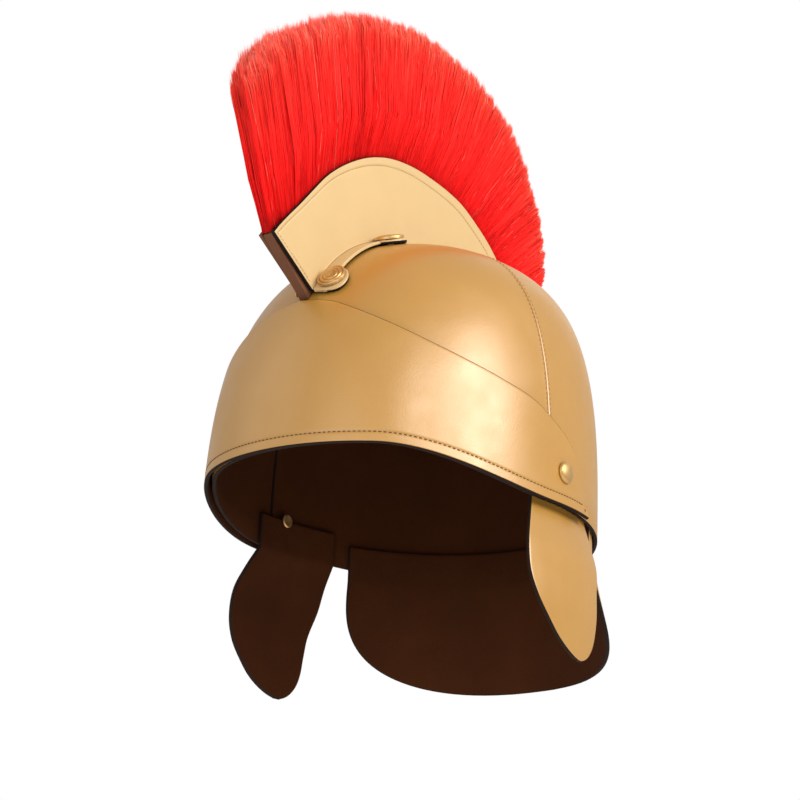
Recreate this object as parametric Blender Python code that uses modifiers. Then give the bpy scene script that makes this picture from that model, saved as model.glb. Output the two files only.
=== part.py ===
"""Gladiator helmet: a faux leather cap with a brow band, cheek and neck guards, and a plumed crest.

Frame: metres, +Z up, the face looks along -Y, the wearer's left is +X.
The origin is the centre of the head opening, level with the cap's edge at the sides.
"""
import math
import random
from collections import namedtuple

import bmesh
import bpy
from mathutils import Vector

# Cap, measured outside
HALF_WIDTH = 0.0885
HALF_LENGTH = 0.104
CROWN_HEIGHT = 0.138
LEATHER = 0.002
PLAN_POWER = 2.1
FRONT_POWER = 2.35
BACK_POWER = 3.6
RIM_FRONT = 0.0105
RIM_SIDE = -0.003
RIM_BACK = -0.0095
SEAM_Y = -0.003
CAP_COLUMNS = 48
CAP_RINGS = 10
WALL_DROP_STARTS = 0.5

# Gaps between pieces that touch on the real helmet
SEAM_GAP = 0.0003
BAND_CLEARANCE = 0.0005
FLAP_CLEARANCE = 0.0006
FOOT_CLEARANCE = 0.0005
CORE_GAP = 0.0003
HEAD_CLEARANCE = 0.0004
CLINCH_CLEARANCE = 0.0009
HOLE_CLEARANCE = 0.0003

# Brow band
BAND_FLARE = 0.0014
BAND_LIP = 0.0008
# a whole number of the cap's columns, so that band and cap stay parallel
BAND_COLUMNS = 28
BAND_ROWS = 8

# Flaps start to flare this far below the cap's edge
FLAP_LEAVE = 0.0015
TUCK_ROWS = 2

# Cheek guards
CHEEK_DROP = 0.0735
CHEEK_WIDTH = 0.064
CHEEK_TUCK = 0.017
CHEEK_FLARE = 0.0105
CHEEK_TIP_POWER = 1.7
CHEEK_SHOULDER = 0.26
CHEEK_TIP_WIDTH = 0.03
CHEEK_COLUMNS = 10
CHEEK_ROWS = 14

# Neck guard
NECK_DROP = 0.055
NECK_TUCK = 0.018
NECK_FLARE = 0.012
NECK_HALF_ANGLE = 62.0
NECK_CORNER_POWER = 3.0
NECK_FLARE_POWER = 1.2
NECK_BOTTOM_WIDTH = 0.12
NECK_COLUMNS = 18
NECK_ROWS = 10

# Crest
# where its foot starts and ends, as shares of the cap's half-length, so that it stays behind the brow band
CREST_FRONT_SHARE = 0.825
CREST_BACK_SHARE = 0.75
CREST_HEIGHT = 0.046
CREST_HALF_THICKNESS = 0.005
FOOT_WIDTH = 0.008
TAB_RADIUS = 0.0085
CORE_INSET = 0.006
CORE_LEAST = 0.25
CORE_COLUMNS = 30
COLUMN_STEP = 0.008

# Rivets
CREST_RIVET_RADIUS = 0.007
CREST_RIVET_HEIGHT = 0.0038
CREST_RIVET_OFFSET = 0.0078
CREST_RIVET_FIRST = 0.009
LEFT_RIVETS = 4
SIDE_RIVET_RADIUS = 0.0054
SIDE_RIVET_HEIGHT = 0.0026
SIDE_RIVET_ANGLE = 92.7
SIDE_RIVET_Z = 0.0123
SHANK_RADIUS = 0.002
CLINCH_RADIUS = 0.0035
CLINCH_THICKNESS = 0.001
RIVET_SIDES = 10
HOLE_SIDES = 10

# Plume
PLUME_LENGTH = 0.084
PLUME_HALF_THICKNESS = 0.0105
PLUME_ROOT = 0.005
PLUME_ROOT_LEAST = 0.5
PLUME_UNEVEN = 0.025
PLUME_LOCKS = 20
COLUMNS_PER_LOCK = 4
PLUME_SEED = 7

BandRow = namedtuple("BandRow", "angle top")
# angle in degrees from the front; top as a share of CROWN_HEIGHT
BAND_TOP = [
    BandRow(0, 0.645),
    BandRow(13, 0.620),
    BandRow(21, 0.586),
    BandRow(36, 0.511),
    BandRow(48, 0.450),
    BandRow(59, 0.401),
    BandRow(71, 0.354),
    BandRow(82, 0.312),
    BandRow(90, 0.255),
    BandRow(97, 0.190),
    BandRow(102, 0.115),
    BandRow(105, 0.030),
]

CheekRow = namedtuple("CheekRow", "depth middle width flare")
# depth as a share of CHEEK_DROP; middle and width as shares of CHEEK_WIDTH; flare as a share of CHEEK_FLARE
CHEEK_FORM = [
    CheekRow(0.00, 0.165, 0.90, 0.00),
    CheekRow(0.16, 0.115, 0.96, 0.40),
    CheekRow(0.33, 0.075, 1.00, 0.76),
    CheekRow(0.52, 0.078, 1.00, 0.93),
    CheekRow(0.67, 0.125, 1.00, 1.00),
    CheekRow(0.80, 0.183, 1.00, 0.98),
    CheekRow(1.00, 0.262, 1.00, 0.90),
]

CrestRow = namedtuple("CrestRow", "place lean rise")
# place as a share of the foot's length, lean in degrees from upright, rise as a share of CREST_HEIGHT
CREST_FORM = [
    CrestRow(0.000, -56.0, 0.790),
    CrestRow(0.095, -44.0, 0.746),
    CrestRow(0.154, -35.3, 0.771),
    CrestRow(0.203, -26.0, 0.835),
    CrestRow(0.274, -15.6, 0.905),
    CrestRow(0.351, -7.9, 0.961),
    CrestRow(0.447, -3.4, 0.980),
    CrestRow(0.562, 2.4, 0.955),
    CrestRow(0.683, 9.1, 0.864),
    CrestRow(0.782, 13.0, 0.690),
    CrestRow(0.838, 17.0, 0.572),
    CrestRow(0.902, 24.0, 0.404),
    CrestRow(0.965, 38.0, 0.187),
    CrestRow(1.000, 55.0, 0.078),
]

PlumeRow = namedtuple("PlumeRow", "place lean length")
# place along the crest's top edge as a share of the foot's length, lean in degrees, length of PLUME_LENGTH
PLUME_FORM = [
    PlumeRow(0.00, -22.0, 0.93),
    PlumeRow(0.10, -17.0, 1.00),
    PlumeRow(0.20, -11.0, 0.95),
    PlumeRow(0.30, -6.0, 0.93),
    PlumeRow(0.40, 0.0, 0.93),
    PlumeRow(0.50, 9.0, 0.95),
    PlumeRow(0.60, 20.0, 0.94),
    PlumeRow(0.70, 32.0, 0.88),
    PlumeRow(0.80, 43.0, 0.74),
    PlumeRow(0.90, 51.0, 0.56),
    PlumeRow(1.00, 46.0, 0.38),
]

HeadPoint = namedtuple("HeadPoint", "radius height")
# rivet head outlines, as shares of the head's radius and height
BUTTON_HEAD = [
    HeadPoint(1.00, 0.00),
    HeadPoint(1.00, 0.42),
    HeadPoint(0.86, 0.55),
    HeadPoint(0.84, 0.92),
    HeadPoint(0.62, 1.00),
    HeadPoint(0.52, 0.90),
    HeadPoint(0.00, 0.96),
]
DOMED_HEAD = [
    HeadPoint(1.00, 0.00),
    HeadPoint(0.95, 0.42),
    HeadPoint(0.66, 0.84),
    HeadPoint(0.00, 1.00),
]

BristleRow = namedtuple("BristleRow", "share thickness")
# share of the bristle's length beyond the crest's edge, thickness as a share of PLUME_HALF_THICKNESS
PLUME_SECTION = [
    BristleRow(0.06, 0.40),
    BristleRow(0.28, 0.62),
    BristleRow(0.55, 0.86),
    BristleRow(0.80, 1.00),
    BristleRow(0.93, 0.80),
]
# lock outline across one lock: how far its tips reach and how full it is
LOCK_REACH = [0.90, 0.97, 1.00, 0.96]
LOCK_FULLNESS = [0.78, 1.00, 1.06, 0.98]


def clear_scene():
    for item in list(bpy.data.objects):
        bpy.data.objects.remove(item, do_unlink=True)


def new_collection(name):
    group = bpy.data.collections.new(name)
    bpy.context.scene.collection.children.link(group)
    return group


def new_material(name, color, roughness, metallic):
    material = bpy.data.materials.new(name)
    material.use_nodes = True
    shader = material.node_tree.nodes["Principled BSDF"]
    shader.inputs["Base Color"].default_value = (*color, 1.0)
    shader.inputs["Roughness"].default_value = roughness
    shader.inputs["Metallic"].default_value = metallic
    material.diffuse_color = (*color, 1.0)
    return material


def add_object(name, mesh_maker, material, group):
    """Make one named object from a bmesh and link it to its collection."""
    mesh = bpy.data.meshes.new(name)
    mesh_maker.to_mesh(mesh)
    mesh_maker.free()
    item = bpy.data.objects.new(name, mesh)
    mesh.materials.append(material)
    group.objects.link(item)
    return item


def add_wall(item, thickness):
    """Thicken an open sheet inwards, away from the side that its normals face."""
    wall = item.modifiers.new("Wall", "SOLIDIFY")
    wall.thickness = thickness
    wall.offset = -1.0
    wall.use_even_offset = True


def smooth_value(rows, column, at):
    """Read a table column between its rows along a smooth curve through them."""
    keys = [row[0] for row in rows]
    values = [getattr(row, column) for row in rows]
    if at <= keys[0]:
        return values[0]
    if at >= keys[-1]:
        return values[-1]
    i = max(k for k in range(len(keys) - 1) if keys[k] <= at)
    span = keys[i + 1] - keys[i]
    t = (at - keys[i]) / span

    def slope(k):
        low, high = max(k - 1, 0), min(k + 1, len(keys) - 1)
        return (values[high] - values[low]) / (keys[high] - keys[low]) * span

    return ((2 * t**3 - 3 * t**2 + 1) * values[i] + (t**3 - 2 * t**2 + t) * slope(i)
            + (3 * t**2 - 2 * t**3) * values[i + 1] + (t**3 - t**2) * slope(i + 1))


def ease(low, high, at):
    """Rise smoothly from 0 at low to 1 at high."""
    t = min(max((at - low) / (high - low), 0.0), 1.0)
    return t * t * (3 - 2 * t)


def signed_power(value, power):
    return math.copysign(abs(value) ** power, value)


def side_power(angle):
    """How boxy the cap is, seen from the side, at an angle from the front."""
    return (FRONT_POWER + BACK_POWER) / 2 + (FRONT_POWER - BACK_POWER) / 2 * math.cos(math.radians(angle))


def plan_point(angle, share, offset, z):
    """A point on the cap's plan curve, pulled in to a share of its size."""
    turn = math.radians(angle)
    x = (HALF_WIDTH + offset) * share * signed_power(math.sin(turn), 2 / PLAN_POWER)
    y = -(HALF_LENGTH + offset) * share * signed_power(math.cos(turn), 2 / PLAN_POWER)
    return Vector((x, y, z))


def cap_at_height(angle, z, offset):
    """A point on the cap, offset outwards, at a height. Below the origin the wall drops straight."""
    power = side_power(angle)
    level = min(max(z, 0.0) / (CROWN_HEIGHT + offset), 1.0)
    return plan_point(angle, (1 - level**power) ** (1 / power), offset, z)


def cap_height(x, y, offset):
    """The height of the cap, offset outwards, over a place in plan."""
    share = ((abs(x) / (HALF_WIDTH + offset)) ** PLAN_POWER
             + (abs(y) / (HALF_LENGTH + offset)) ** PLAN_POWER) ** (1 / PLAN_POWER)
    cosine = -signed_power(y / ((HALF_LENGTH + offset) * max(share, 1e-9)), PLAN_POWER / 2)
    power = side_power(math.degrees(math.acos(min(max(cosine, -1.0), 1.0))))
    return (CROWN_HEIGHT + offset) * max(1 - share**power, 0.0) ** (1 / power)


def cap_normal(x, y, z):
    """The outward direction of the cap at a point on it."""
    step = 1e-5

    def field(px, py, pz):
        share = ((abs(px) / HALF_WIDTH) ** PLAN_POWER + (abs(py) / HALF_LENGTH) ** PLAN_POWER) ** (1 / PLAN_POWER)
        cosine = -signed_power(py / (HALF_LENGTH * max(share, 1e-9)), PLAN_POWER / 2)
        power = side_power(math.degrees(math.acos(min(max(cosine, -1.0), 1.0))))
        return share**power + (max(pz, 0.0) / CROWN_HEIGHT) ** power

    return Vector((field(x + step, y, z) - field(x - step, y, z),
                   field(x, y + step, z) - field(x, y - step, z),
                   field(x, y, z + step) - field(x, y, z - step))).normalized()


def rim_height(angle):
    """The height of the cap's edge at an angle from the front."""
    turn = abs((angle + 180) % 360 - 180)
    front = RIM_FRONT + (RIM_SIDE - RIM_FRONT) * ease(32, 88, turn)
    return front + (RIM_BACK - RIM_SIDE) * ease(95, 180, turn)


def mapped_grid(columns, rows, place):
    """A grid primitive whose points are moved by a function of their two shares, 0 to 1."""
    maker = bmesh.new()
    bmesh.ops.create_grid(maker, x_segments=columns, y_segments=rows, size=0.5)
    for vert in maker.verts:
        vert.co = place(vert.co.x + 0.5, vert.co.y + 0.5)
    return maker


def face_outwards(maker, centre):
    """Turn an open sheet so that its normals face away from a point."""
    maker.normal_update()
    total = sum(face.normal.dot(face.calc_center_median() - centre) * face.calc_area() for face in maker.faces)
    if total < 0:
        bmesh.ops.reverse_faces(maker, faces=maker.faces[:])


def cut_with(item, cutter, name):
    cut = item.modifiers.new(name, "BOOLEAN")
    cut.operation = "DIFFERENCE"
    cut.object = cutter


def add_cutter(name, maker, group):
    mesh = bpy.data.meshes.new(name)
    maker.to_mesh(mesh)
    maker.free()
    cutter = bpy.data.objects.new(name, mesh)
    cutter.display_type = "WIRE"
    cutter.hide_render = True
    group.objects.link(cutter)
    return cutter


def cap_sheet():
    """The cap's outer surface: half a sphere mapped to the cap's form, down to its sloping edge."""
    maker = bmesh.new()
    bmesh.ops.create_uvsphere(maker, u_segments=CAP_COLUMNS, v_segments=2 * CAP_RINGS, radius=1.0)
    low = [vert for vert in maker.verts if vert.co.z < -1e-4]
    bmesh.ops.delete(maker, geom=low, context="VERTS")
    for vert in maker.verts:
        angle = math.degrees(math.atan2(vert.co.x, -vert.co.y))
        down = math.acos(min(max(vert.co.z, 0.0), 1.0)) / (math.pi / 2)
        power = side_power(angle)
        rim = rim_height(angle)
        lowest = math.acos((max(rim, 0.0) / CROWN_HEIGHT) ** (power / 2))
        turn = lowest * down
        share = math.sin(turn) ** (2 / power)
        z = CROWN_HEIGHT * max(math.cos(turn), 0.0) ** (2 / power)
        if rim < 0:
            z += rim * ease(WALL_DROP_STARTS, 1.0, down)
        vert.co = plan_point(angle, share, 0.0, z)
    face_outwards(maker, Vector((0, 0, 0)))
    return maker


def half_space(name, y_low, y_high, group):
    """A box that takes away everything between two planes across the cap."""
    maker = bmesh.new()
    bmesh.ops.create_cube(maker, size=1.0)
    reach = 4 * CROWN_HEIGHT
    for vert in maker.verts:
        y = y_low if vert.co.y < 0 else y_high
        vert.co = Vector((vert.co.x * reach, y, vert.co.z * reach))
    return add_cutter(name, maker, group)


def make_cap(parts, cutters, gold):
    far = 3 * HALF_LENGTH
    behind = half_space("cutter_behind_seam", SEAM_Y - SEAM_GAP / 2, far, cutters)
    ahead = half_space("cutter_ahead_of_seam", -far, SEAM_Y + SEAM_GAP / 2, cutters)
    halves = {}
    for name, cutter in (("cap_front", behind), ("cap_back", ahead)):
        half = add_object(name, cap_sheet(), gold, parts)
        add_wall(half, LEATHER)
        cut_with(half, cutter, "Seam")
        halves[name] = half
    return halves


def make_band(parts, gold):
    end = BAND_TOP[-1].angle

    def place(across, up):
        angle = (2 * across - 1) * end
        low = rim_height(angle) - BAND_LIP
        high = CROWN_HEIGHT * smooth_value(BAND_TOP, "top", abs(angle))
        flare = BAND_FLARE * (1 - up) ** 2
        return cap_at_height(angle, low + (high - low) * up, BAND_CLEARANCE + flare + LEATHER)

    maker = mapped_grid(BAND_COLUMNS, BAND_ROWS, place)
    face_outwards(maker, Vector((0, 0, 0)))
    band = add_object("brow_band", maker, gold, parts)
    add_wall(band, LEATHER)
    return band


def plan_x(y, offset):
    """Half the cap's width at a distance along it."""
    return (HALF_WIDTH + offset) * (1 - (abs(y) / (HALF_LENGTH + offset)) ** PLAN_POWER) ** (1 / PLAN_POWER)


def flap_depth(down, rows, drop, tuck):
    """Depth below the place where a flap leaves the cap, with a row right there and rows closer at the tip."""
    row = down * rows
    if row <= TUCK_ROWS:
        return -tuck * (1 - row / TUCK_ROWS)
    return drop * math.sin(math.pi / 2 * (row - TUCK_ROWS) / (rows - TUCK_ROWS))


def cheek_point(across, down):
    """A point on a cheek guard's outer face, on the wearer's left."""
    depth = flap_depth(down, CHEEK_ROWS, CHEEK_DROP, CHEEK_TUCK)
    share = depth / CHEEK_DROP
    round_off = max((share - CHEEK_SHOULDER) / (1 - CHEEK_SHOULDER), 0.0)
    half = CHEEK_WIDTH / 2 * max(1 - round_off**CHEEK_TIP_POWER, 0.0) ** (1 / CHEEK_TIP_POWER)
    half = max(half * smooth_value(CHEEK_FORM, "width", share), CHEEK_WIDTH * CHEEK_TIP_WIDTH)
    y = CHEEK_WIDTH * smooth_value(CHEEK_FORM, "middle", share) + (2 * across - 1) * half
    flare = CHEEK_FLARE * smooth_value(CHEEK_FORM, "flare", share)
    return Vector((plan_x(y, -LEATHER - FLAP_CLEARANCE) + flare, y, RIM_SIDE - FLAP_LEAVE - depth))


def make_cheeks(parts, gold):
    guards = {}
    for side, name in ((1, "cheek_guard_left"), (-1, "cheek_guard_right")):
        maker = mapped_grid(CHEEK_COLUMNS, CHEEK_ROWS, cheek_point)
        for vert in maker.verts:
            vert.co.x *= side
        face_outwards(maker, Vector((0, 0, 0)))
        guard = add_object(name, maker, gold, parts)
        add_wall(guard, LEATHER)
        guards[name] = guard
    return guards


def neck_point(across, down):
    """A point on the neck guard's outer face."""
    depth = flap_depth(down, NECK_ROWS, NECK_DROP, NECK_TUCK)
    share = max(depth / NECK_DROP, 0.0)
    half = NECK_HALF_ANGLE * max(1 - share**NECK_CORNER_POWER, 0.0) ** (1 / NECK_CORNER_POWER)
    half = max(half, NECK_HALF_ANGLE * NECK_BOTTOM_WIDTH)
    angle = 180 + (2 * across - 1) * half
    offset = NECK_FLARE * share**NECK_FLARE_POWER - LEATHER - FLAP_CLEARANCE
    return plan_point(angle, 1.0, offset, RIM_BACK - FLAP_LEAVE - depth)


def make_neck(parts, gold):
    maker = mapped_grid(NECK_COLUMNS, NECK_ROWS, neck_point)
    face_outwards(maker, Vector((0, 0, 0)))
    guard = add_object("neck_guard", maker, gold, parts)
    add_wall(guard, LEATHER)
    return guard


def foot_curve(steps=400):
    """Arc lengths and Y places along the line where a crest panel meets its foot."""
    offset = FOOT_CLEARANCE + LEATHER
    front = -HALF_LENGTH * CREST_FRONT_SHARE
    back = HALF_LENGTH * CREST_BACK_SHARE
    places = [front + (back - front) * i / steps for i in range(steps + 1)]
    lengths = [0.0]
    for a, b in zip(places, places[1:]):
        rise = cap_height(CREST_HALF_THICKNESS, b, offset) - cap_height(CREST_HALF_THICKNESS, a, offset)
        lengths.append(lengths[-1] + math.hypot(b - a, rise))
    return lengths, places


def foot_y(curve, length):
    """The Y place at an arc length along the foot."""
    lengths, places = curve
    length = min(max(length, 0.0), lengths[-1])
    i = min(max(sum(1 for value in lengths if value <= length) - 1, 0), len(lengths) - 2)
    t = (length - lengths[i]) / (lengths[i + 1] - lengths[i])
    return places[i] + (places[i + 1] - places[i]) * t


def rivet_lengths(curve, side):
    """Arc lengths of a panel's rivets. Those on the wearer's right lie midway between those on the left."""
    total = curve[0][-1]
    step = (total - 2 * CREST_RIVET_FIRST) / (LEFT_RIVETS - 1)
    left = [CREST_RIVET_FIRST + step * i for i in range(LEFT_RIVETS)]
    return left if side > 0 else [length + step / 2 for length in left[:-1]]


def foot_columns(curve, side):
    """Arc lengths of the crest's columns: close together over each round tab, wider between them."""
    total = curve[0][-1]
    around = [math.sin(math.radians(angle)) for angle in (-90, -60, -30, 0, 30, 60, 90)]
    tabs = [[middle + TAB_RADIUS * share for share in around] for middle in rivet_lengths(curve, side)]
    ends = [[0.0]] + tabs + [[total]]
    columns = []
    for here, following in zip(ends, ends[1:]):
        gap = following[0] - here[-1]
        steps = max(round(gap / COLUMN_STEP), 1)
        columns += here + [here[-1] + gap * i / steps for i in range(1, steps)]
    return columns + [total]


def foot_reach(curve, side, length):
    """How far the foot reaches from its panel: a strip that swells to a round tab at each rivet."""
    reach = FOOT_WIDTH
    for middle in rivet_lengths(curve, side):
        inside = TAB_RADIUS**2 - (length - middle) ** 2
        if inside > 0:
            reach = max(reach, CREST_RIVET_OFFSET + math.sqrt(inside))
    return reach


def crest_section(curve, share):
    """At a place along the foot: its (y, z), the direction that the crest leans in, and how far it rises."""
    y = foot_y(curve, share * curve[0][-1])
    z = cap_height(CREST_HALF_THICKNESS, y, FOOT_CLEARANCE + LEATHER)
    lean = math.radians(smooth_value(CREST_FORM, "lean", share))
    rise = CREST_HEIGHT * smooth_value(CREST_FORM, "rise", share)
    direction = (math.sin(lean), math.cos(lean))
    return (y, z), direction, rise


def crest_side_sheet(curve, side):
    """The outer surface of a crest panel and its foot."""
    columns = foot_columns(curve, side)
    total = curve[0][-1]

    def place(across, up):
        length = columns[round(across * (len(columns) - 1))]
        row = round(up * 3)
        (y, z), direction, rise = crest_section(curve, length / total)
        if row < 2:
            x = CREST_HALF_THICKNESS + foot_reach(curve, side, length) * (2 - row) / 2
            return Vector((side * x, y, cap_height(x, y, FOOT_CLEARANCE + LEATHER)))
        rise = rise if row == 3 else 0.0
        return Vector((side * CREST_HALF_THICKNESS, y + direction[0] * rise, z + direction[1] * rise))

    return mapped_grid(len(columns) - 1, 3, place)


def make_crest_sides(parts, gold, curve):
    sides = {}
    for side, name in ((1, "crest_side_left"), (-1, "crest_side_right")):
        maker = crest_side_sheet(curve, side)
        face_outwards(maker, Vector((0, 0, CROWN_HEIGHT / 2)))
        panel = add_object(name, maker, gold, parts)
        add_wall(panel, LEATHER)
        sides[name] = panel
    return sides


def make_core(parts, brown, curve):
    """The core between the panels: a flat plate that stops below the panels' top edge."""
    half = CREST_HALF_THICKNESS - LEATHER - CORE_GAP
    low = FOOT_CLEARANCE

    def place(across, up):
        (y, z), direction, rise = crest_section(curve, across)
        bottom = cap_height(half, y, low)
        tall = max(rise - CORE_INSET, rise * CORE_LEAST)
        return Vector((half, y + direction[0] * tall * up, bottom + (z + direction[1] * tall - bottom) * up))

    maker = mapped_grid(CORE_COLUMNS, 1, place)
    face_outwards(maker, Vector((0, 0, CROWN_HEIGHT)))
    core = add_object("crest_core", maker, brown, parts)
    add_wall(core, 2 * half)
    return core


def rivet_profile(outline, head_radius, head_height, grip):
    """Radius and height of a rivet's outline, from the clinched end up to the head's middle."""
    foot = -grip - CLINCH_THICKNESS
    shank = [(0.0, foot), (CLINCH_RADIUS, foot), (CLINCH_RADIUS, -grip), (SHANK_RADIUS, -grip), (SHANK_RADIUS, 0.0)]
    return shank + [(head_radius * point.radius, head_height * point.height) for point in outline]


def make_rivet(name, profile, centre, axis, material, group):
    """A rivet turned about its own axis, with the underside of its head at the centre given."""
    maker = bmesh.new()
    line = [maker.verts.new((radius, 0.0, height)) for radius, height in reversed(profile)]
    for a, b in zip(line, line[1:]):
        maker.edges.new((a, b))
    rivet = add_object(name, maker, material, group)
    turn = rivet.modifiers.new("Turn", "SCREW")
    turn.steps = RIVET_SIDES
    turn.render_steps = RIVET_SIDES
    turn.use_merge_vertices = True
    turn.merge_threshold = 0.00001
    rivet.location = centre
    rivet.rotation_mode = "QUATERNION"
    rivet.rotation_quaternion = axis.to_track_quat("Z", "Y")
    return rivet


def hole_cutter(name, spots, reach, group):
    """Straight round cutters for the rivets' shanks, in one object."""
    maker = bmesh.new()
    radius = (SHANK_RADIUS + HOLE_CLEARANCE) / math.cos(math.pi / HOLE_SIDES)
    for centre, axis in spots:
        turn = axis.to_track_quat("Z", "Y").to_matrix().to_4x4()
        turn.translation = centre
        bmesh.ops.create_cone(maker, cap_ends=True, segments=HOLE_SIDES, radius1=radius, radius2=radius,
                              depth=2 * reach, matrix=turn)
    return add_cutter(name, maker, group)


def make_crest_rivets(parts, cutters, brass, curve, panels, halves):
    lift = FOOT_CLEARANCE + LEATHER
    grip = HEAD_CLEARANCE + LEATHER + FOOT_CLEARANCE + LEATHER + CLINCH_CLEARANCE
    profile = rivet_profile(BUTTON_HEAD, CREST_RIVET_RADIUS, CREST_RIVET_HEIGHT, grip)
    for side, word in ((1, "left"), (-1, "right")):
        spots = []
        for number, length in enumerate(rivet_lengths(curve, side), start=1):
            x = side * (CREST_HALF_THICKNESS + CREST_RIVET_OFFSET)
            y = foot_y(curve, length)
            axis = cap_normal(x, y, cap_height(x, y, 0.0))
            centre = Vector((x, y, cap_height(x, y, lift))) + axis * HEAD_CLEARANCE
            make_rivet(f"crest_rivet_{word}_{number}", profile, centre, axis, brass, parts)
            spots.append((centre, axis))
        holes = hole_cutter(f"cutter_crest_holes_{word}", spots, 4 * grip, cutters)
        cut_with(panels[f"crest_side_{word}"], holes, "Rivet holes")
        for half in halves.values():
            cut_with(half, holes, f"Crest holes {word}")


def make_side_rivets(parts, cutters, brass, band, halves, cheeks):
    seat = cap_at_height(SIDE_RIVET_ANGLE, SIDE_RIVET_Z, 0.0)
    axis = cap_normal(*seat)
    low = rim_height(SIDE_RIVET_ANGLE) - BAND_LIP
    top = CROWN_HEIGHT * smooth_value(BAND_TOP, "top", SIDE_RIVET_ANGLE)
    up = (SIDE_RIVET_Z - low) / (top - low)
    outer = BAND_CLEARANCE + BAND_FLARE * (1 - up) ** 2 + LEATHER + HEAD_CLEARANCE
    grip = outer + 2 * LEATHER + FLAP_CLEARANCE + CLINCH_CLEARANCE
    profile = rivet_profile(DOMED_HEAD, SIDE_RIVET_RADIUS, SIDE_RIVET_HEIGHT, grip)
    for side, word in ((1, "left"), (-1, "right")):
        turned = Vector((side * axis.x, axis.y, axis.z))
        centre = Vector((side * seat.x, seat.y, seat.z)) + turned * outer
        make_rivet(f"side_rivet_{word}", profile, centre, turned, brass, parts)
        holes = hole_cutter(f"cutter_side_hole_{word}", [(centre, turned)], 4 * grip, cutters)
        for item in (band, halves["cap_back"], cheeks[f"cheek_guard_{word}"]):
            cut_with(item, holes, f"Side hole {word}")


def make_plume(parts, red, curve):
    """The plume's left half as one sheet of locks, mirrored into a closed body."""
    draw = random.Random(PLUME_SEED)
    reach_of = [1 + draw.uniform(-PLUME_UNEVEN, PLUME_UNEVEN) for _ in range(PLUME_LOCKS)]
    columns = PLUME_LOCKS * COLUMNS_PER_LOCK
    root_half = CREST_HALF_THICKNESS - LEATHER - CORE_GAP
    rows = [("root", 0.0), ("root", root_half), ("edge", root_half)]
    rows += [(row.share, PLUME_HALF_THICKNESS * row.thickness) for row in PLUME_SECTION] + [("tip", 0.0)]

    def place(across, up):
        column = round(across * columns)
        kind, half = rows[round(up * (len(rows) - 1))]
        lock = min(column // COLUMNS_PER_LOCK, PLUME_LOCKS - 1)
        within = column % COLUMNS_PER_LOCK
        (y, z), stand, rise = crest_section(curve, across)
        rise = rise + FOOT_CLEARANCE
        lean = math.radians(smooth_value(PLUME_FORM, "lean", across))
        length = PLUME_LENGTH * smooth_value(PLUME_FORM, "length", across) * reach_of[lock] * LOCK_REACH[within]
        edge = (y + stand[0] * rise, z + stand[1] * rise)
        if kind == "root":
            root = max(rise - PLUME_ROOT, rise * PLUME_ROOT_LEAST)
            spot = (y + stand[0] * root, z + stand[1] * root)
        elif kind == "edge":
            spot = edge
        else:
            run = length * (1.0 if kind == "tip" else kind)
            spot = (edge[0] + math.sin(lean) * run, edge[1] + math.cos(lean) * run)
            half *= LOCK_FULLNESS[within]
        if column in (0, columns):
            half = 0.0
        return Vector((half, *spot))

    maker = mapped_grid(columns, len(rows) - 1, place)
    face_outwards(maker, Vector((-CROWN_HEIGHT, 0, CROWN_HEIGHT)))
    plume = add_object("plume", maker, red, parts)
    mirror = plume.modifiers.new("Other side", "MIRROR")
    mirror.use_axis = (True, False, False)
    mirror.use_clip = True
    mirror.merge_threshold = 0.00001
    return plume


def shade(parts):
    for item in parts.objects:
        item.data.shade_smooth()
        item.data.set_sharp_from_angle(angle=math.radians(35))


def main():
    clear_scene()
    parts = new_collection("gladiator_helmet")
    cutters = new_collection("cutters")
    gold = new_material("gold_faux_leather", (0.72, 0.50, 0.22), 0.42, 0.35)
    brown = new_material("brown_core", (0.20, 0.09, 0.06), 0.7, 0.0)
    brass = new_material("brass", (0.83, 0.62, 0.30), 0.25, 1.0)
    red = new_material("red_bristle", (0.80, 0.02, 0.015), 0.6, 0.0)
    curve = foot_curve()
    halves = make_cap(parts, cutters, gold)
    band = make_band(parts, gold)
    cheeks = make_cheeks(parts, gold)
    make_neck(parts, gold)
    panels = make_crest_sides(parts, gold, curve)
    make_core(parts, brown, curve)
    make_crest_rivets(parts, cutters, brass, curve, panels, halves)
    make_side_rivets(parts, cutters, brass, band, halves, cheeks)
    make_plume(parts, red, curve)
    shade(parts)


main()
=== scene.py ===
import math
from collections import namedtuple

import bmesh
import bpy
import numpy as np
from mathutils import Matrix, Vector


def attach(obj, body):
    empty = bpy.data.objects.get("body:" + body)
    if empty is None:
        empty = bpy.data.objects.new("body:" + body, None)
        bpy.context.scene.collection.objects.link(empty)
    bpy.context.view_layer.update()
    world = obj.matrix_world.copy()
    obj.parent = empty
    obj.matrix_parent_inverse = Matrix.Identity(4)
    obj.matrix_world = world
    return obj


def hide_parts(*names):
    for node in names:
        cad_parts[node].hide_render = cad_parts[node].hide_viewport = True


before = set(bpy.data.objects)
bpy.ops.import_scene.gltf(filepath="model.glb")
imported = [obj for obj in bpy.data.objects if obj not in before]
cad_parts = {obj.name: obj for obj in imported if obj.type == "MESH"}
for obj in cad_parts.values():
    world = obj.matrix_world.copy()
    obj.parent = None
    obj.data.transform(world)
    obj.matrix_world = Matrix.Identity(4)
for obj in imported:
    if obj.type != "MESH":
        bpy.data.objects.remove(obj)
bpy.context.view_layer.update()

# sizes of the helmet, in metres
HALF_WIDTH = 0.0885
HALF_LENGTH = 0.104
CROWN_HEIGHT = 0.138
LEATHER = 0.002
PLAN_POWER = 2.1
FRONT_POWER = 2.35
BACK_POWER = 3.6
RIM_FRONT = 0.0105
RIM_SIDE = -0.003
RIM_BACK = -0.0095
SEAM_Y = -0.003
WALL_DROP_STARTS = 0.5
SEAM_GAP = 0.0003
BAND_CLEARANCE = 0.0005
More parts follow.
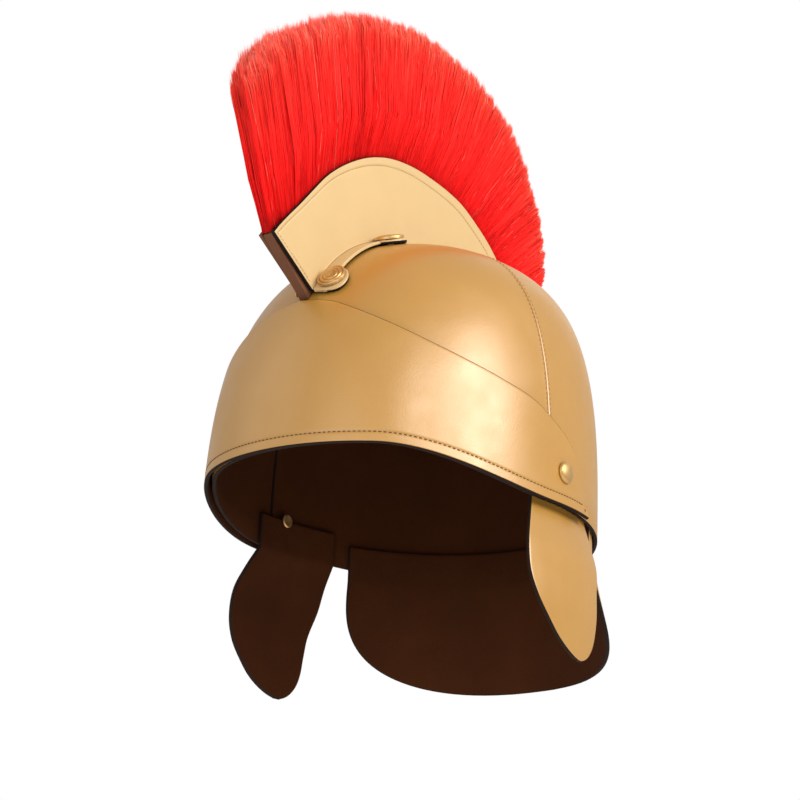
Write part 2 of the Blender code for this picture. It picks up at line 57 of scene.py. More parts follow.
FLAP_CLEARANCE = 0.0006
FOOT_CLEARANCE = 0.0005
CORE_GAP = 0.0003
HEAD_CLEARANCE = 0.0004
CLINCH_CLEARANCE = 0.0009
BAND_FLARE = 0.0014
BAND_LIP = 0.0008
FLAP_LEAVE = 0.0015
CHEEK_DROP = 0.0735
CHEEK_WIDTH = 0.064
CHEEK_TUCK = 0.017
CHEEK_FLARE = 0.0105
CHEEK_TIP_POWER = 1.7
CHEEK_SHOULDER = 0.26
CHEEK_TIP_WIDTH = 0.03
CHEEK_TUCK_SHARE = 2 / 14
NECK_DROP = 0.055
NECK_TUCK = 0.018
NECK_FLARE = 0.012
NECK_HALF_ANGLE = 62.0
NECK_CORNER_POWER = 3.0
NECK_FLARE_POWER = 1.2
NECK_BOTTOM_WIDTH = 0.12
NECK_TUCK_SHARE = 2 / 10
CREST_FRONT_SHARE = 0.825
CREST_BACK_SHARE = 0.75
CREST_HEIGHT = 0.046
CREST_HALF = 0.005
FOOT_WIDTH = 0.008
TAB_RADIUS = 0.0085
CORE_INSET = 0.006
CORE_LEAST = 0.25
CREST_RIVET_RADIUS = 0.007
CREST_RIVET_HEIGHT = 0.0038
CREST_RIVET_OFFSET = 0.0078
CREST_RIVET_FIRST = 0.009
LEFT_RIVETS = 4
SIDE_RIVET_RADIUS = 0.0054
SIDE_RIVET_HEIGHT = 0.0026
SIDE_RIVET_ANGLE = 92.7
SIDE_RIVET_Z = 0.0123
SHANK_RADIUS = 0.002
CLINCH_RADIUS = 0.0035
CLINCH_THICKNESS = 0.001
PLUME_LENGTH = 0.084
PLUME_HALF = 0.0105
PLUME_ROOT = 0.005
PLUME_ROOT_LEAST = 0.5
CORE_HALF = CREST_HALF - LEATHER - CORE_GAP


def table(columns, *rows):
    Row = namedtuple("Row", columns)
    return [Row(*row) for row in rows]


# the band's top edge: degrees from the front, height as a share of CROWN_HEIGHT
BAND_TOP = table("angle top",
    (0, 0.645), (13, 0.620), (21, 0.586), (36, 0.511), (48, 0.450), (59, 0.401),
    (71, 0.354), (82, 0.312), (90, 0.255), (97, 0.190), (102, 0.115), (105, 0.030))

# a cheek guard: share of CHEEK_DROP, middle and width as shares of CHEEK_WIDTH, share of CHEEK_FLARE
CHEEK_FORM = table("depth middle width flare",
    (0.00, 0.208, 0.816, 0.00), (0.16, 0.156, 0.894, 0.40), (0.33, 0.116, 0.975, 0.76),
    (0.52, 0.084, 1.012, 0.93), (0.67, 0.109, 1.061, 1.00), (0.80, 0.160, 1.10, 0.98),
    (0.90, 0.200, 1.165, 0.95), (1.00, 0.252, 1.20, 0.90))

# the crest's panels: share of the foot's length, backward lean in degrees, height as a share of CREST_HEIGHT
CREST_FORM = table("place lean rise",
    (0.000, -56.0, 0.790), (0.095, -44.0, 0.746), (0.154, -35.3, 0.771), (0.203, -26.0, 0.835),
    (0.274, -15.6, 0.905), (0.351, -7.9, 0.961), (0.447, -3.4, 0.980), (0.562, 2.4, 0.955),
    (0.683, 9.1, 0.864), (0.782, 13.0, 0.690), (0.838, 17.0, 0.572), (0.902, 24.0, 0.404),
    (0.965, 38.0, 0.187), (1.000, 55.0, 0.078))

# the bristles: share of the foot's length, backward lean in degrees, length as a share of PLUME_LENGTH
PLUME_FORM = table("place lean length",
    (0.00, -22.0, 0.93), (0.10, -17.0, 1.00), (0.20, -11.0, 0.95), (0.30, -6.0, 0.93), (0.40, 0.0, 0.93),
    (0.50, 9.0, 0.95), (0.60, 20.0, 0.94), (0.70, 32.0, 0.88), (0.80, 43.0, 0.74), (0.90, 51.0, 0.56),
    (1.00, 46.0, 0.38))

# share of a bristle's length past the crest's edge, and the plume's thickness there as a share of PLUME_HALF
PLUME_SHARES = (0.0, 0.06, 0.28, 0.55, 0.80, 0.93, 1.0)
PLUME_THICKNESS = (0.26, 0.40, 0.62, 0.86, 1.0, 0.93, 0.86)


# the helmet's curves
TINY = 1e-9
# degrees from the front over which the rim falls to its height at the sides, and then to that at the back
SIDE_TURNS, BACK_TURNS = (32, 88), (95, 180)
# steps round the helmet and down that the neck guard's normal is measured over
NORMAL_TURN, NORMAL_STEP = 0.05, 0.0001


def smooth_value(rows, column, at):
    keys = [row[0] for row in rows]
    values = [getattr(row, column) for row in rows]
    if at <= keys[0]:
        return values[0]
    if at >= keys[-1]:
        return values[-1]
    i = max(k for k in range(len(keys) - 1) if keys[k] <= at)
    span = keys[i + 1] - keys[i]
    t = (at - keys[i]) / span

    def slope(k):
        low, high = max(k - 1, 0), min(k + 1, len(keys) - 1)
        return (values[high] - values[low]) / (keys[high] - keys[low]) * span

    return ((2 * t**3 - 3 * t**2 + 1) * values[i] + (t**3 - 2 * t**2 + t) * slope(i)
            + (3 * t**2 - 2 * t**3) * values[i + 1] + (t**3 - t**2) * slope(i + 1))


def ease(low, high, at):
    t = np.clip((at - low) / (high - low), 0, 1)
    return t * t * (3 - 2 * t)


def signed_power(value, power):
    return math.copysign(abs(value) ** power, value)


def side_power(angle):
    return (FRONT_POWER + BACK_POWER) / 2 + (FRONT_POWER - BACK_POWER) / 2 * math.cos(math.radians(angle))


def plan_point(angle, share, offset, z):
    turn = math.radians(angle)
    x = (HALF_WIDTH + offset) * share * signed_power(math.sin(turn), 2 / PLAN_POWER)
    y = -(HALF_LENGTH + offset) * share * signed_power(math.cos(turn), 2 / PLAN_POWER)
    return Vector((x, y, z))


def mirrored(point, side):
    return Vector((side * point.x, point.y, point.z))


def cap_at_height(angle, z, offset):
    power = side_power(angle)
    level = min(max(z, 0.0) / (CROWN_HEIGHT + offset), 1.0)
    return plan_point(angle, (1 - level**power) ** (1 / power), offset, z)


def share_and_power(x, y, offset=0.0):
    """How far out of the cap's plan a place is, from 0 to 1, and the power of the cap's side section."""
    share = ((abs(x) / (HALF_WIDTH + offset)) ** PLAN_POWER
             + (abs(y) / (HALF_LENGTH + offset)) ** PLAN_POWER) ** (1 / PLAN_POWER)
    cosine = -signed_power(y / ((HALF_LENGTH + offset) * max(share, TINY)), PLAN_POWER / 2)
    return share, side_power(math.degrees(math.acos(min(max(cosine, -1.0), 1.0))))


def cap_height(x, y, offset):
    share, power = share_and_power(x, y, offset)
    return (CROWN_HEIGHT + offset) * max(1 - share**power, 0.0) ** (1 / power)


def cap_normal(x, y, z):
    step = 1e-5

    def field(px, py, pz):
        share, power = share_and_power(px, py)
        return share**power + (max(pz, 0.0) / CROWN_HEIGHT) ** power

    return Vector((field(x + step, y, z) - field(x - step, y, z),
                   field(x, y + step, z) - field(x, y - step, z),
                   field(x, y, z + step) - field(x, y, z - step))).normalized()


def rim_height(angle):
    turn = abs((angle + 180) % 360 - 180)
    front = RIM_FRONT + (RIM_SIDE - RIM_FRONT) * ease(*SIDE_TURNS, turn)
    return front + (RIM_BACK - RIM_SIDE) * ease(*BACK_TURNS, turn)


def plan_x(y, offset):
    return (HALF_WIDTH + offset) * (1 - (abs(y) / (HALF_LENGTH + offset)) ** PLAN_POWER) ** (1 / PLAN_POWER)


def flap_depth(down, tuck_share, drop, tuck):
    if down <= tuck_share:
        return -tuck * (1 - down / tuck_share)
    return drop * math.sin(math.pi / 2 * (down - tuck_share) / (1 - tuck_share))


def cheek_point(across, down):
    depth = flap_depth(down, CHEEK_TUCK_SHARE, CHEEK_DROP, CHEEK_TUCK)
    share = depth / CHEEK_DROP
    round_off = max((share - CHEEK_SHOULDER) / (1 - CHEEK_SHOULDER), 0.0)
    half = CHEEK_WIDTH / 2 * max(1 - round_off**CHEEK_TIP_POWER, 0.0) ** (1 / CHEEK_TIP_POWER)
    half = max(half * smooth_value(CHEEK_FORM, "width", share), CHEEK_WIDTH * CHEEK_TIP_WIDTH)
    y = CHEEK_WIDTH * smooth_value(CHEEK_FORM, "middle", share) + (2 * across - 1) * half
    flare = CHEEK_FLARE * smooth_value(CHEEK_FORM, "flare", share)
    return Vector((plan_x(y, -LEATHER - FLAP_CLEARANCE) + flare, y, RIM_SIDE - FLAP_LEAVE - depth))


def neck_place(across, down):
    """The angle round the helmet and the depth below the rim, for a place on the flap."""
    depth = flap_depth(down, NECK_TUCK_SHARE, NECK_DROP, NECK_TUCK)
    share = max(depth / NECK_DROP, 0.0)
    half = NECK_HALF_ANGLE * max(1 - share**NECK_CORNER_POWER, 0.0) ** (1 / NECK_CORNER_POWER)
    half = max(half, NECK_HALF_ANGLE * NECK_BOTTOM_WIDTH)
    return 180 + (2 * across - 1) * half, depth


def neck_surface(angle, depth):
    offset = NECK_FLARE * max(depth / NECK_DROP, 0.0) ** NECK_FLARE_POWER - LEATHER - FLAP_CLEARANCE
    return plan_point(angle, 1.0, offset, RIM_BACK - FLAP_LEAVE - depth)


def neck_point(across, down):
    return neck_surface(*neck_place(across, down))


def neck_normal(across, down):
    angle, depth = neck_place(across, down)
    around = neck_surface(angle + NORMAL_TURN, depth) - neck_surface(angle - NORMAL_TURN, depth)
    below = neck_surface(angle, depth + NORMAL_STEP) - neck_surface(angle, depth - NORMAL_STEP)
    normal = around.cross(below).normalized()
    return normal if normal.y > 0 else -normal


def groove(distance, depth, width):
    return depth * math.exp(-((distance / width) ** 2))


def foot_curve(steps=400):
    """Lengths travelled along the crest's foot, and the y of each."""
    offset = FOOT_CLEARANCE + LEATHER
    front, back = -HALF_LENGTH * CREST_FRONT_SHARE, HALF_LENGTH * CREST_BACK_SHARE
    places = [front + (back - front) * i / steps for i in range(steps + 1)]
    lengths = [0.0]
    for a, b in zip(places, places[1:]):
        rise = cap_height(CREST_HALF, b, offset) - cap_height(CREST_HALF, a, offset)
        lengths.append(lengths[-1] + math.hypot(b - a, rise))
    return lengths, places


FOOT_LENGTHS, FOOT_PLACES = foot_curve()
FOOT_TOTAL = FOOT_LENGTHS[-1]


def foot_y(length):
    return float(np.interp(length, FOOT_LENGTHS, FOOT_PLACES))


def rivet_lengths(side):
    step = (FOOT_TOTAL - 2 * CREST_RIVET_FIRST) / (LEFT_RIVETS - 1)
    left = [CREST_RIVET_FIRST + step * i for i in range(LEFT_RIVETS)]
    return left if side > 0 else [length + step / 2 for length in left[:-1]]


def foot_reach(side, length):
    """How far the foot strip reaches from the panel, with its round tabs under the rivets."""
    reach = FOOT_WIDTH
    for middle in rivet_lengths(side):
        inside = TAB_RADIUS**2 - (length - middle) ** 2
        if inside > 0:
            reach = max(reach, CREST_RIVET_OFFSET + math.sqrt(inside))
    return reach


def crest_section(share):
    """At a share of the foot's length: foot (y, z), the panel's upward direction (y, z), and its height."""
    y = foot_y(share * FOOT_TOTAL)
    z = cap_height(CREST_HALF, y, FOOT_CLEARANCE + LEATHER)
    lean = math.radians(smooth_value(CREST_FORM, "lean", share))
    return (y, z), (math.sin(lean), math.cos(lean)), CREST_HEIGHT * smooth_value(CREST_FORM, "rise", share)


# materials
def fill(node, values):
    for name, value in values.items():
        node.inputs[name].default_value = value


# noise scales of the leather, in cells per metre, and heights of its bumps
CLOUDS, GLOSS, CREASES, PEBBLES = 22.0, 60.0, 240.0, 1300.0
PEBBLE_DEPTH, CREASE_DEPTH = 0.0001, 0.00016
# a bristle whose map is past these shades is a loose, pale one
FRIZZ_TONES = (0.955, 0.965)


class Surface:
    """A Principled material with short ways to add procedural nodes."""

    def __init__(self, name, color, roughness, metallic=0.0, **sockets):
        self.material = bpy.data.materials.new(name)
        self.material.use_nodes = True
        self.material.diffuse_color = (*color, 1.0)
        self.tree = self.material.node_tree
        self.shader = self.tree.nodes["Principled BSDF"]
        fill(self.shader, {"Base Color": (*color, 1.0), "Roughness": roughness, "Metallic": metallic})
        fill(self.shader, {name.replace("_", " "): value for name, value in sockets.items()})
        self.place = self.tree.nodes.new("ShaderNodeTexCoord").outputs["Object"]

    def node(self, kind, links=(), **values):
        made = self.tree.nodes.new(kind)
        for name, value in values.items():
            if name in made.inputs:
                made.inputs[name].default_value = value
            else:
                setattr(made, name, value)
        for source, target in links:
            self.tree.links.new(source, made.inputs[target])
        return made

    def noise(self, scale, detail=2.0, roughness=0.5, stretch=None):
        place = self.place
        if stretch:
            place = self.node("ShaderNodeMapping", [(place, "Vector")], Scale=stretch).outputs["Vector"]
        made = self.node("ShaderNodeTexNoise", [(place, "Vector")],
                         Scale=scale, Detail=detail, Roughness=roughness)
        return made.outputs["Fac"]

    def ramp(self, source, stops):
        made = self.node("ShaderNodeValToRGB", [(source, "Fac")])
        band = made.color_ramp
        while len(band.elements) < len(stops):
            band.elements.new(0.5)
        for element, (at, color) in zip(band.elements, stops):
            element.position = at
            element.color = (*color, 1.0) if len(color) == 3 else color
        return made.outputs["Color"]

    def spread(self, source, low, high):
        spans = {"From Min": 0.3, "From Max": 0.7, "To Min": low, "To Max": high}
        return self.node("ShaderNodeMapRange", [(source, "Value")], **spans).outputs["Result"]

    def multiply(self, a, b):
        made = self.node("ShaderNodeMix", data_type="RGBA", blend_type="MULTIPLY")
        made.inputs["Factor"].default_value = 1.0
        self.tree.links.new(a, made.inputs["A"])
        self.tree.links.new(b, made.inputs["B"])
        return made.outputs["Result"]

    def color(self, source):
        self.tree.links.new(source, self.shader.inputs["Base Color"])

    def roughness(self, source):
        self.tree.links.new(source, self.shader.inputs["Roughness"])

    def bump(self, source, strength, distance, under=None):
        links = [(source, "Height")] + ([(under, "Normal")] if under else [])
        made = self.node("ShaderNodeBump", links, Strength=strength, Distance=distance)
        self.tree.links.new(made.outputs["Normal"], self.shader.inputs["Normal"])
        return made.outputs["Normal"]


def scaled(color, factor):
    return tuple(min(value * factor, 1.0) for value in color)


def leather_surface(name, color, roughness, metallic, grain=0.35, cloud=0.05, **sockets):
    """Faux leather: a fine pebbled grain, faint creases, and a little cloudiness in colour and gloss."""
    surface = Surface(name, color, roughness, metallic, **sockets)
    cloudy = surface.noise(CLOUDS, 4.0, 0.6)
    surface.color(surface.ramp(cloudy, [(0.3, scaled(color, 1 - cloud)), (0.7, scaled(color, 1 + cloud))]))
    surface.roughness(surface.spread(surface.noise(GLOSS, 3.0), roughness - 0.05, roughness + 0.06))
    pebbles = surface.node("ShaderNodeTexVoronoi", [(surface.place, "Vector")],
                           feature="SMOOTH_F1", Scale=PEBBLES)
    under = surface.bump(pebbles.outputs["Distance"], grain, PEBBLE_DEPTH)
    surface.bump(surface.noise(CREASES, 4.0, 0.6), grain * 0.7, CREASE_DEPTH, under)
    return surface.material


GOLD = leather_surface("gold_faux_leather", (0.46, 0.222, 0.028), 0.36, 0.10, cloud=0.03,
                       IOR=1.57, Specular_IOR_Level=1.0)
GOLD_PANEL = leather_surface("gold_faux_leather_crest", (0.63, 0.425, 0.19), 0.42, 0.08, cloud=0.03)
LINING = leather_surface("brown_backing", (0.055, 0.015, 0.004), 0.85, 0.0, grain=0.8, cloud=0.15,
                         Specular_IOR_Level=0.08)
# near-black cut edge: the leather's own dark edge, made darker still as painted shade, so that the band's
# lower rim reads as the shadow line beneath it
EDGE = leather_surface("cut_edge", (0.018, 0.009, 0.006), 0.8, 0.0, grain=0.6, cloud=0.15,
                       Specular_IOR_Level=0.15)
# near-black edge of the crest's near panel; on the lower edge of its foot and tabs it is painted shadow
BLACK_EDGE = leather_surface("dark_cut_edge", (0.010, 0.007, 0.006), 0.75, 0.0, grain=0.5, cloud=0.15,
                             Specular_IOR_Level=0.15)
CORE = leather_surface("brown_core_leather", (0.165, 0.060, 0.026), 0.70, 0.0, grain=0.9, cloud=0.15,
                       Specular_IOR_Level=0.3)
THREAD = Surface("dark_thread", (0.085, 0.040, 0.018), 0.75).material
SEAM_THREAD = Surface("gold_brown_thread", (0.36, 0.20, 0.075), 0.7).material
# a darker gold-brown for the fold between panel and foot: painted shade in that corner
FOLD_SHADE = leather_surface("gold_brown_fold_shade", (0.30, 0.155, 0.05), 0.5, 0.2)


def brass_surface():
    surface = Surface("brass_rivets", (0.70, 0.44, 0.16), 0.40, 0.8)
    tarnish = surface.noise(180.0, 3.0, 0.6)
    surface.color(surface.ramp(tarnish, [(0.3, (0.52, 0.30, 0.10)), (0.65, (0.68, 0.43, 0.17))]))
    surface.roughness(surface.spread(surface.noise(300.0, 2.0), 0.32, 0.42))
    surface.bump(surface.noise(900.0, 2.0), 0.05, 0.00006)
    return surface.material


BRASS = brass_surface()


def bristle_surface():
    """Bristles from their map: v runs from root to tip, u is a bristle's own shade, pale for a loose one."""
    surface = Surface("red_bristle_strands", (0.95, 0.02, 0.015), 0.62, Specular_IOR_Level=0.22)
    place = surface.node("ShaderNodeUVMap", uv_map="OFBake").outputs["UV"]
    pair = surface.node("ShaderNodeSeparateXYZ", [(place, "Vector")])
    # darker at the root, as painted shade where the bristles stand packed between the crest's panels
    along = surface.ramp(pair.outputs["Y"], [
        (0.0, (0.60, 0.001, 0.001)), (0.10, (0.98, 0.005, 0.004)), (0.45, (1.0, 0.010, 0.007)),
        (0.80, (1.0, 0.024, 0.014)), (0.89, (1.0, 0.065, 0.036)), (0.95, (1.0, 0.17, 0.11)),
        (1.0, (1.0, 0.52, 0.42))])
    shade = surface.ramp(pair.outputs["X"], [
        (0.08, (0.74, 0.5, 0.5)), (0.32, (1.0, 0.9, 0.9)), (0.62, (1.0, 1.2, 1.2)), (0.85, (1.0, 2.8, 2.8))])
    pale = surface.node("ShaderNodeMix", data_type="RGBA")
    pale.inputs["B"].default_value = (0.98, 0.26, 0.20, 1.0)
    frizz = surface.ramp(pair.outputs["X"], list(zip(FRIZZ_TONES, ((0, 0, 0), (1, 1, 1)))))
    surface.tree.links.new(frizz, pale.inputs["Factor"])
    surface.tree.links.new(surface.multiply(along, shade), pale.inputs["A"])
    surface.color(pale.outputs["Result"])
    return surface.material


BRISTLE = bristle_surface()


def plume_core_surface():
    surface = Surface("red_plume_inside", (0.45, 0.003, 0.003), 0.8)
    streaks = surface.noise(420.0, 3.0, 0.6, stretch=(1.0, 1.0, 0.12))
    surface.color(surface.ramp(streaks, [(0.35, (0.55, 0.001, 0.001)), (0.65, (0.95, 0.012, 0.008))]))
    surface.bump(streaks, 0.8, 0.0008)
    return surface.material


PLUME_INSIDE = plume_core_surface()


# mesh tools
SHORT = 1e-6
# degrees from which an edge is sharp: on walls, on small or soft forms, and on rivets
SHARP, SHARP_SMALL, SHARP_TURNED = 50, 60, 30


def link(name, data):
    made = bpy.data.objects.new(name, data)
    bpy.context.scene.collection.objects.link(made)
    return made


def finish_piece(name, mesh, materials, nodes=()):
    """Link a piece, and say what it rides on and the CAD nodes that it replaces."""
    for material in materials:
        mesh.materials.append(material)
    piece = link(name, mesh)
    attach(piece, "root")
    if nodes:
        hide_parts(*nodes)


def grid_sheet(columns, rows, place):
    """An open sheet with a point for each pair of column and row values, and those points."""
    maker = bmesh.new()
    points = [[maker.verts.new(place(a, b)) for b in rows] for a in columns]
    for left, right in zip(points, points[1:]):
        for i in range(len(rows) - 1):
            maker.faces.new((left[i], right[i], right[i + 1], left[i + 1]))
    return maker, points


def face_outwards(maker, centre):
    maker.normal_update()
    total = sum(face.normal.dot(face.calc_center_median() - centre) * face.calc_area()
                for face in maker.faces)
    if total < 0:
        bmesh.ops.reverse_faces(maker, faces=maker.faces[:])
    maker.normal_update()


def thicken(maker, thickness, bulge, steps=5, flat=None, trim=None, normals=None):
    """Close an open sheet into a leather wall: material 0 outside, 1 inside and 2 round its bulging cut edge.

    flat(vert) is true where the cut edge stays square, as in a seam. trim(place, share) may give another
    material for a place on the cut edge, share of the way from the outer to the inner face. normals holds
    the surface's true normals, for a sheet with long slanting faces at its edge.
    """
    outer = list(maker.verts)
    normals = normals or {vert: vert.normal for vert in outer}
    faces = list(maker.faces)
    rim = [edge for edge in maker.edges if edge.is_boundary]
    outward = {}
    for edge in rim:
        face = edge.link_faces[0]
        a, b = edge.verts
        along = (b.co - a.co).normalized()
        away = (a.co + b.co) / 2 - face.calc_center_median()
        away = away - along * away.dot(along)
        away = away - face.normal * away.dot(face.normal)
        if away.length > TINY:
            pull = away.normalized() * max(edge.calc_length(), SHORT)
            for vert in edge.verts:
                outward[vert] = outward.get(vert, Vector()) + pull
    inner = {vert: maker.verts.new(vert.co - normals[vert] * thickness) for vert in outer}
    ring = {}
    for vert, direction in outward.items():
        direction = direction - normals[vert] * direction.dot(normals[vert])
        direction.normalize()
        reach = 0.0 if flat and flat(vert) else bulge
        column = [vert]
        for step in range(1, steps):
            turn = math.pi * step / steps
            column.append(maker.verts.new(vert.co - normals[vert] * thickness * (1 - math.cos(turn)) / 2
                                          + direction * reach * math.sin(turn)))
        ring[vert] = column + [inner[vert]]
    for edge in rim:
        face = edge.link_faces[0]
        corners = [loop.vert for loop in face.loops]
        a, b = edge.verts
        if corners[(corners.index(a) + 1) % len(corners)] != b:
            a, b = b, a
        for step in range(steps):
            made = maker.faces.new((ring[b][step], ring[a][step], ring[a][step + 1], ring[b][step + 1]))
            made.material_index = trim((a.co + b.co) / 2, (step + 0.5) / steps) if trim else 2
    for face in faces:
        made = maker.faces.new([inner[loop.vert] for loop in reversed(face.loops)])
        made.material_index = 1
    maker.normal_update()


def mesh_from(name, maker, sharp=SHARP):
    mesh = bpy.data.meshes.new(name)
    maker.to_mesh(mesh)
    maker.free()
    mesh.shade_smooth()
    mesh.set_sharp_from_angle(angle=math.radians(sharp))
    return mesh


def leather_wall(node, maker, bulge, centre=(0, 0, 0), thickness=LEATHER, materials=(GOLD, LINING, EDGE),
                 slot="gold_leather", **ways):
    """Close an open sheet into a wall, and put it in the place of its CAD node."""
    face_outwards(maker, Vector(centre))
    thicken(maker, thickness, bulge, **ways)
    finish_piece(node + "_leather", mesh_from(node, maker), materials, [node])


def even(count):
    return [i / count for i in range(count + 1)]


def add_face(maker, corners):
    """Add a face without the corners that fall together."""
    corners = list(dict.fromkeys(corners))
    if len(corners) > 2:
        maker.faces.new(corners)


def lathe(node, profile, centre, axis, sides=48):
    """A turned piece. The profile runs from the clinched end up to the head's middle, both on the axis."""
    maker = bmesh.new()
    rings = []
    for radius, height in profile:
        count = 1 if radius < TINY else sides
        turns = [2 * math.pi * k / sides for k in range(count)]
        rings.append([maker.verts.new((radius * math.cos(turn), radius * math.sin(turn), height))
                      for turn in turns])
    for low, high in zip(rings, rings[1:]):
        for k in range(sides):
            n = (k + 1) % sides
            add_face(maker, (low[k % len(low)], low[n % len(low)], high[n % len(high)], high[k % len(high)]))
    turn = axis.to_track_quat("Z", "Y").to_matrix().to_4x4()
    turn.translation = centre
    maker.transform(turn)
    face_outwards(maker, centre)
    finish_piece(node + "_turned", mesh_from(node + "_turned", maker, SHARP_TURNED), [BRASS], [node])


Stitch = namedtuple("Stitch", "pitch length thickness")
# a stitch's stations: place along it as a share of its length, width and lift as shares of its thickness
STITCH_STATIONS = ((-0.5, 0.15, -0.9), (-0.44, 0.75, -0.25), (-0.25, 1.0, 0.25), (0.0, 1.0, 0.35),
                   (0.25, 1.0, 0.25), (0.44, 0.75, -0.25), (0.5, 0.15, -0.9))


def stitches(name, lines, stitch, material, sides=6):
    """Short threads: closed capsules dug into the leather at both ends. lines holds (point, along, out)."""
    maker = bmesh.new()
    for point, along, out in lines:
        across = along.cross(out).normalized()
        up = across.cross(along).normalized()
        rings = []
        for at, wide, lift in STITCH_STATIONS:
            middle = point + along * at * stitch.length + up * lift * stitch.thickness
            rings.append([maker.verts.new(middle + (across * math.cos(2 * math.pi * k / sides)
                                                    + up * math.sin(2 * math.pi * k / sides))
                                          * stitch.thickness / 2 * wide) for k in range(sides)])
        for low, high in zip(rings, rings[1:]):
            for k in range(sides):
                maker.faces.new((low[k], low[(k + 1) % sides], high[(k + 1) % sides], high[k]))
        maker.faces.new(list(reversed(rings[0])))
        maker.faces.new(rings[-1])
    bmesh.ops.recalc_face_normals(maker, faces=maker.faces[:])
    finish_piece(name, mesh_from(name, maker, SHARP_SMALL), [material])


def along_line(points, outs, pitch):
    """Places for stitches along a line of points: (point, along, out) every pitch."""
    lengths = [0.0]
    for a, b in zip(points, points[1:]):
        lengths.append(lengths[-1] + (b - a).length)
    count = int(lengths[-1] / pitch)
    made, i = [], 0
    for k in range(count):
        at = (k + 0.5) * pitch
        while lengths[i + 1] < at:
            i += 1
        t = (at - lengths[i]) / (lengths[i + 1] - lengths[i])
        along = (points[i + 1] - points[i]).normalized()
        made.append((points[i].lerp(points[i + 1], t), along, outs[i].lerp(outs[i + 1], t)))
    return made


# cap halves
CAP_COLUMNS, CAP_ROWS = 192, 112
CAP_BULGE = 0.0004
BELOW_RIM, CUT_NEAR = -1e-4, 1e-7
# cuts beside the seam, so that its ridge and groove have rows to show in
SEAM_CUTS = (0.0, 0.0004, 0.0008, 0.0013, 0.0019, 0.0027)
SEAM_RIDGE_AT, SEAM_RIDGE, SEAM_RIDGE_WIDTH = 0.0012, 0.00012, 0.0009
SEAM_GROOVE, SEAM_GROOVE_WIDTH = 0.00022, 0.0004
SEAM_STITCH = Stitch(0.0026, 0.0015, 0.00022)
SEAM_STITCH_APART, SEAM_STITCH_RISE = 0.0013, 0.00015
SEAM_STITCH_FIRST, SEAM_STITCH_LAST = 0.050, 0.0005
SEAM_LINE_POINTS, SEAM_LINE_POWER = 160, 0.75


def make_caps():
    for name, keep in (("cap_front", -1), ("cap_back", 1)):
        maker = bmesh.new()
        bmesh.ops.create_uvsphere(maker, u_segments=CAP_COLUMNS, v_segments=CAP_ROWS, radius=1.0)
        bmesh.ops.delete(maker, geom=[vert for vert in maker.verts if vert.co.z < BELOW_RIM], context="VERTS")
        for vert in maker.verts:
            angle = math.degrees(math.atan2(vert.co.x, -vert.co.y))
            down = math.acos(min(max(vert.co.z, 0.0), 1.0)) / (math.pi / 2)
            power = side_power(angle)
            rim = rim_height(angle)
            turn = math.acos((max(rim, 0.0) / CROWN_HEIGHT) ** (power / 2)) * down
            z = CROWN_HEIGHT * max(math.cos(turn), 0.0) ** (2 / power)
            if rim < 0:
                z += rim * ease(WALL_DROP_STARTS, 1.0, down)
            vert.co = plan_point(angle, math.sin(turn) ** (2 / power), 0.0, z)
        for step in SEAM_CUTS:
            bmesh.ops.bisect_plane(
                maker, geom=maker.verts[:] + maker.edges[:] + maker.faces[:], dist=CUT_NEAR,
                plane_co=(0, SEAM_Y + keep * (SEAM_GAP / 2 + step), 0), plane_no=(0, keep, 0),
                clear_inner=step == 0.0, clear_outer=False)
        bmesh.ops.dissolve_degenerate(maker, dist=SHORT, edges=maker.edges[:])
        face_outwards(maker, Vector((0, 0, 0)))
        moves = []
        for vert in maker.verts:
            gap = abs(vert.co.y - SEAM_Y)
            lift = (groove(gap - SEAM_RIDGE_AT, SEAM_RIDGE, SEAM_RIDGE_WIDTH)
                    - groove(gap, SEAM_GROOVE, SEAM_GROOVE_WIDTH))
            moves.append((vert, vert.normal * lift))
        for vert, move in moves:
            vert.co += move
        leather_wall(name, maker, CAP_BULGE, flat=lambda vert: abs(vert.co.y - SEAM_Y) < SEAM_GAP)
    rows = []
    for side in (-1, 1):
        for beside in (-1, 1):
            y = SEAM_Y + beside * SEAM_STITCH_APART
            line, outs = [], []
            for share in even(SEAM_LINE_POINTS):
                reach = (HALF_WIDTH - SEAM_STITCH_FIRST - SEAM_STITCH_LAST) * share**SEAM_LINE_POWER
                x = side * (SEAM_STITCH_FIRST + reach)
                z = cap_height(x, y, SEAM_STITCH_RISE)
                if z > 0.0:
                    line.append(Vector((x, y, z)))
                    outs.append(cap_normal(x, y, z))
            rows += along_line(line, outs, SEAM_STITCH.pitch)
    stitches("cap_seam_stitches", rows, SEAM_STITCH, SEAM_THREAD)


# brow band
BAND_COLUMNS, BAND_ROWS = 300, 34
BAND_BULGE = 0.0006
# heights above the band's lower edge that its stitched crease needs
BAND_NEAR = (0.0, 0.0005, 0.0012, 0.0021, 0.0030, 0.0037, 0.0042, 0.0047, 0.0052, 0.0057, 0.0064, 0.0075)
# they take up at most this share of its height, near its narrow ends
BAND_NEAR_MOST = 0.45
BAND_LINE = 0.0047
BAND_CREASE, BAND_CREASE_WIDTH = 0.00035, 0.0005
BAND_STITCH = Stitch(0.0024, 0.0018, 0.00040)
BAND_STITCH_SUNK = 0.0002
BAND_LINE_END, BAND_TACK_END = 2.5, 2.2
BAND_LINE_POINTS = 600


def band_edges(angle):
    """The heights of the band's lower and top edges."""
    return rim_height(angle) - BAND_LIP, CROWN_HEIGHT * smooth_value(BAND_TOP, "top", abs(angle))


def band_offset(angle, z):
    """How far the band's outer face lies out of the cap's."""
    low, high = band_edges(angle)
    up = (z - low) / (high - low)
    return BAND_CLEARANCE + BAND_FLARE * (1 - up) ** 2 + LEATHER


def band_point(angle, z):
    return cap_at_height(angle, z, band_offset(angle, z))


def level_out(point):
    return Vector((point.x, point.y, 0)).normalized()


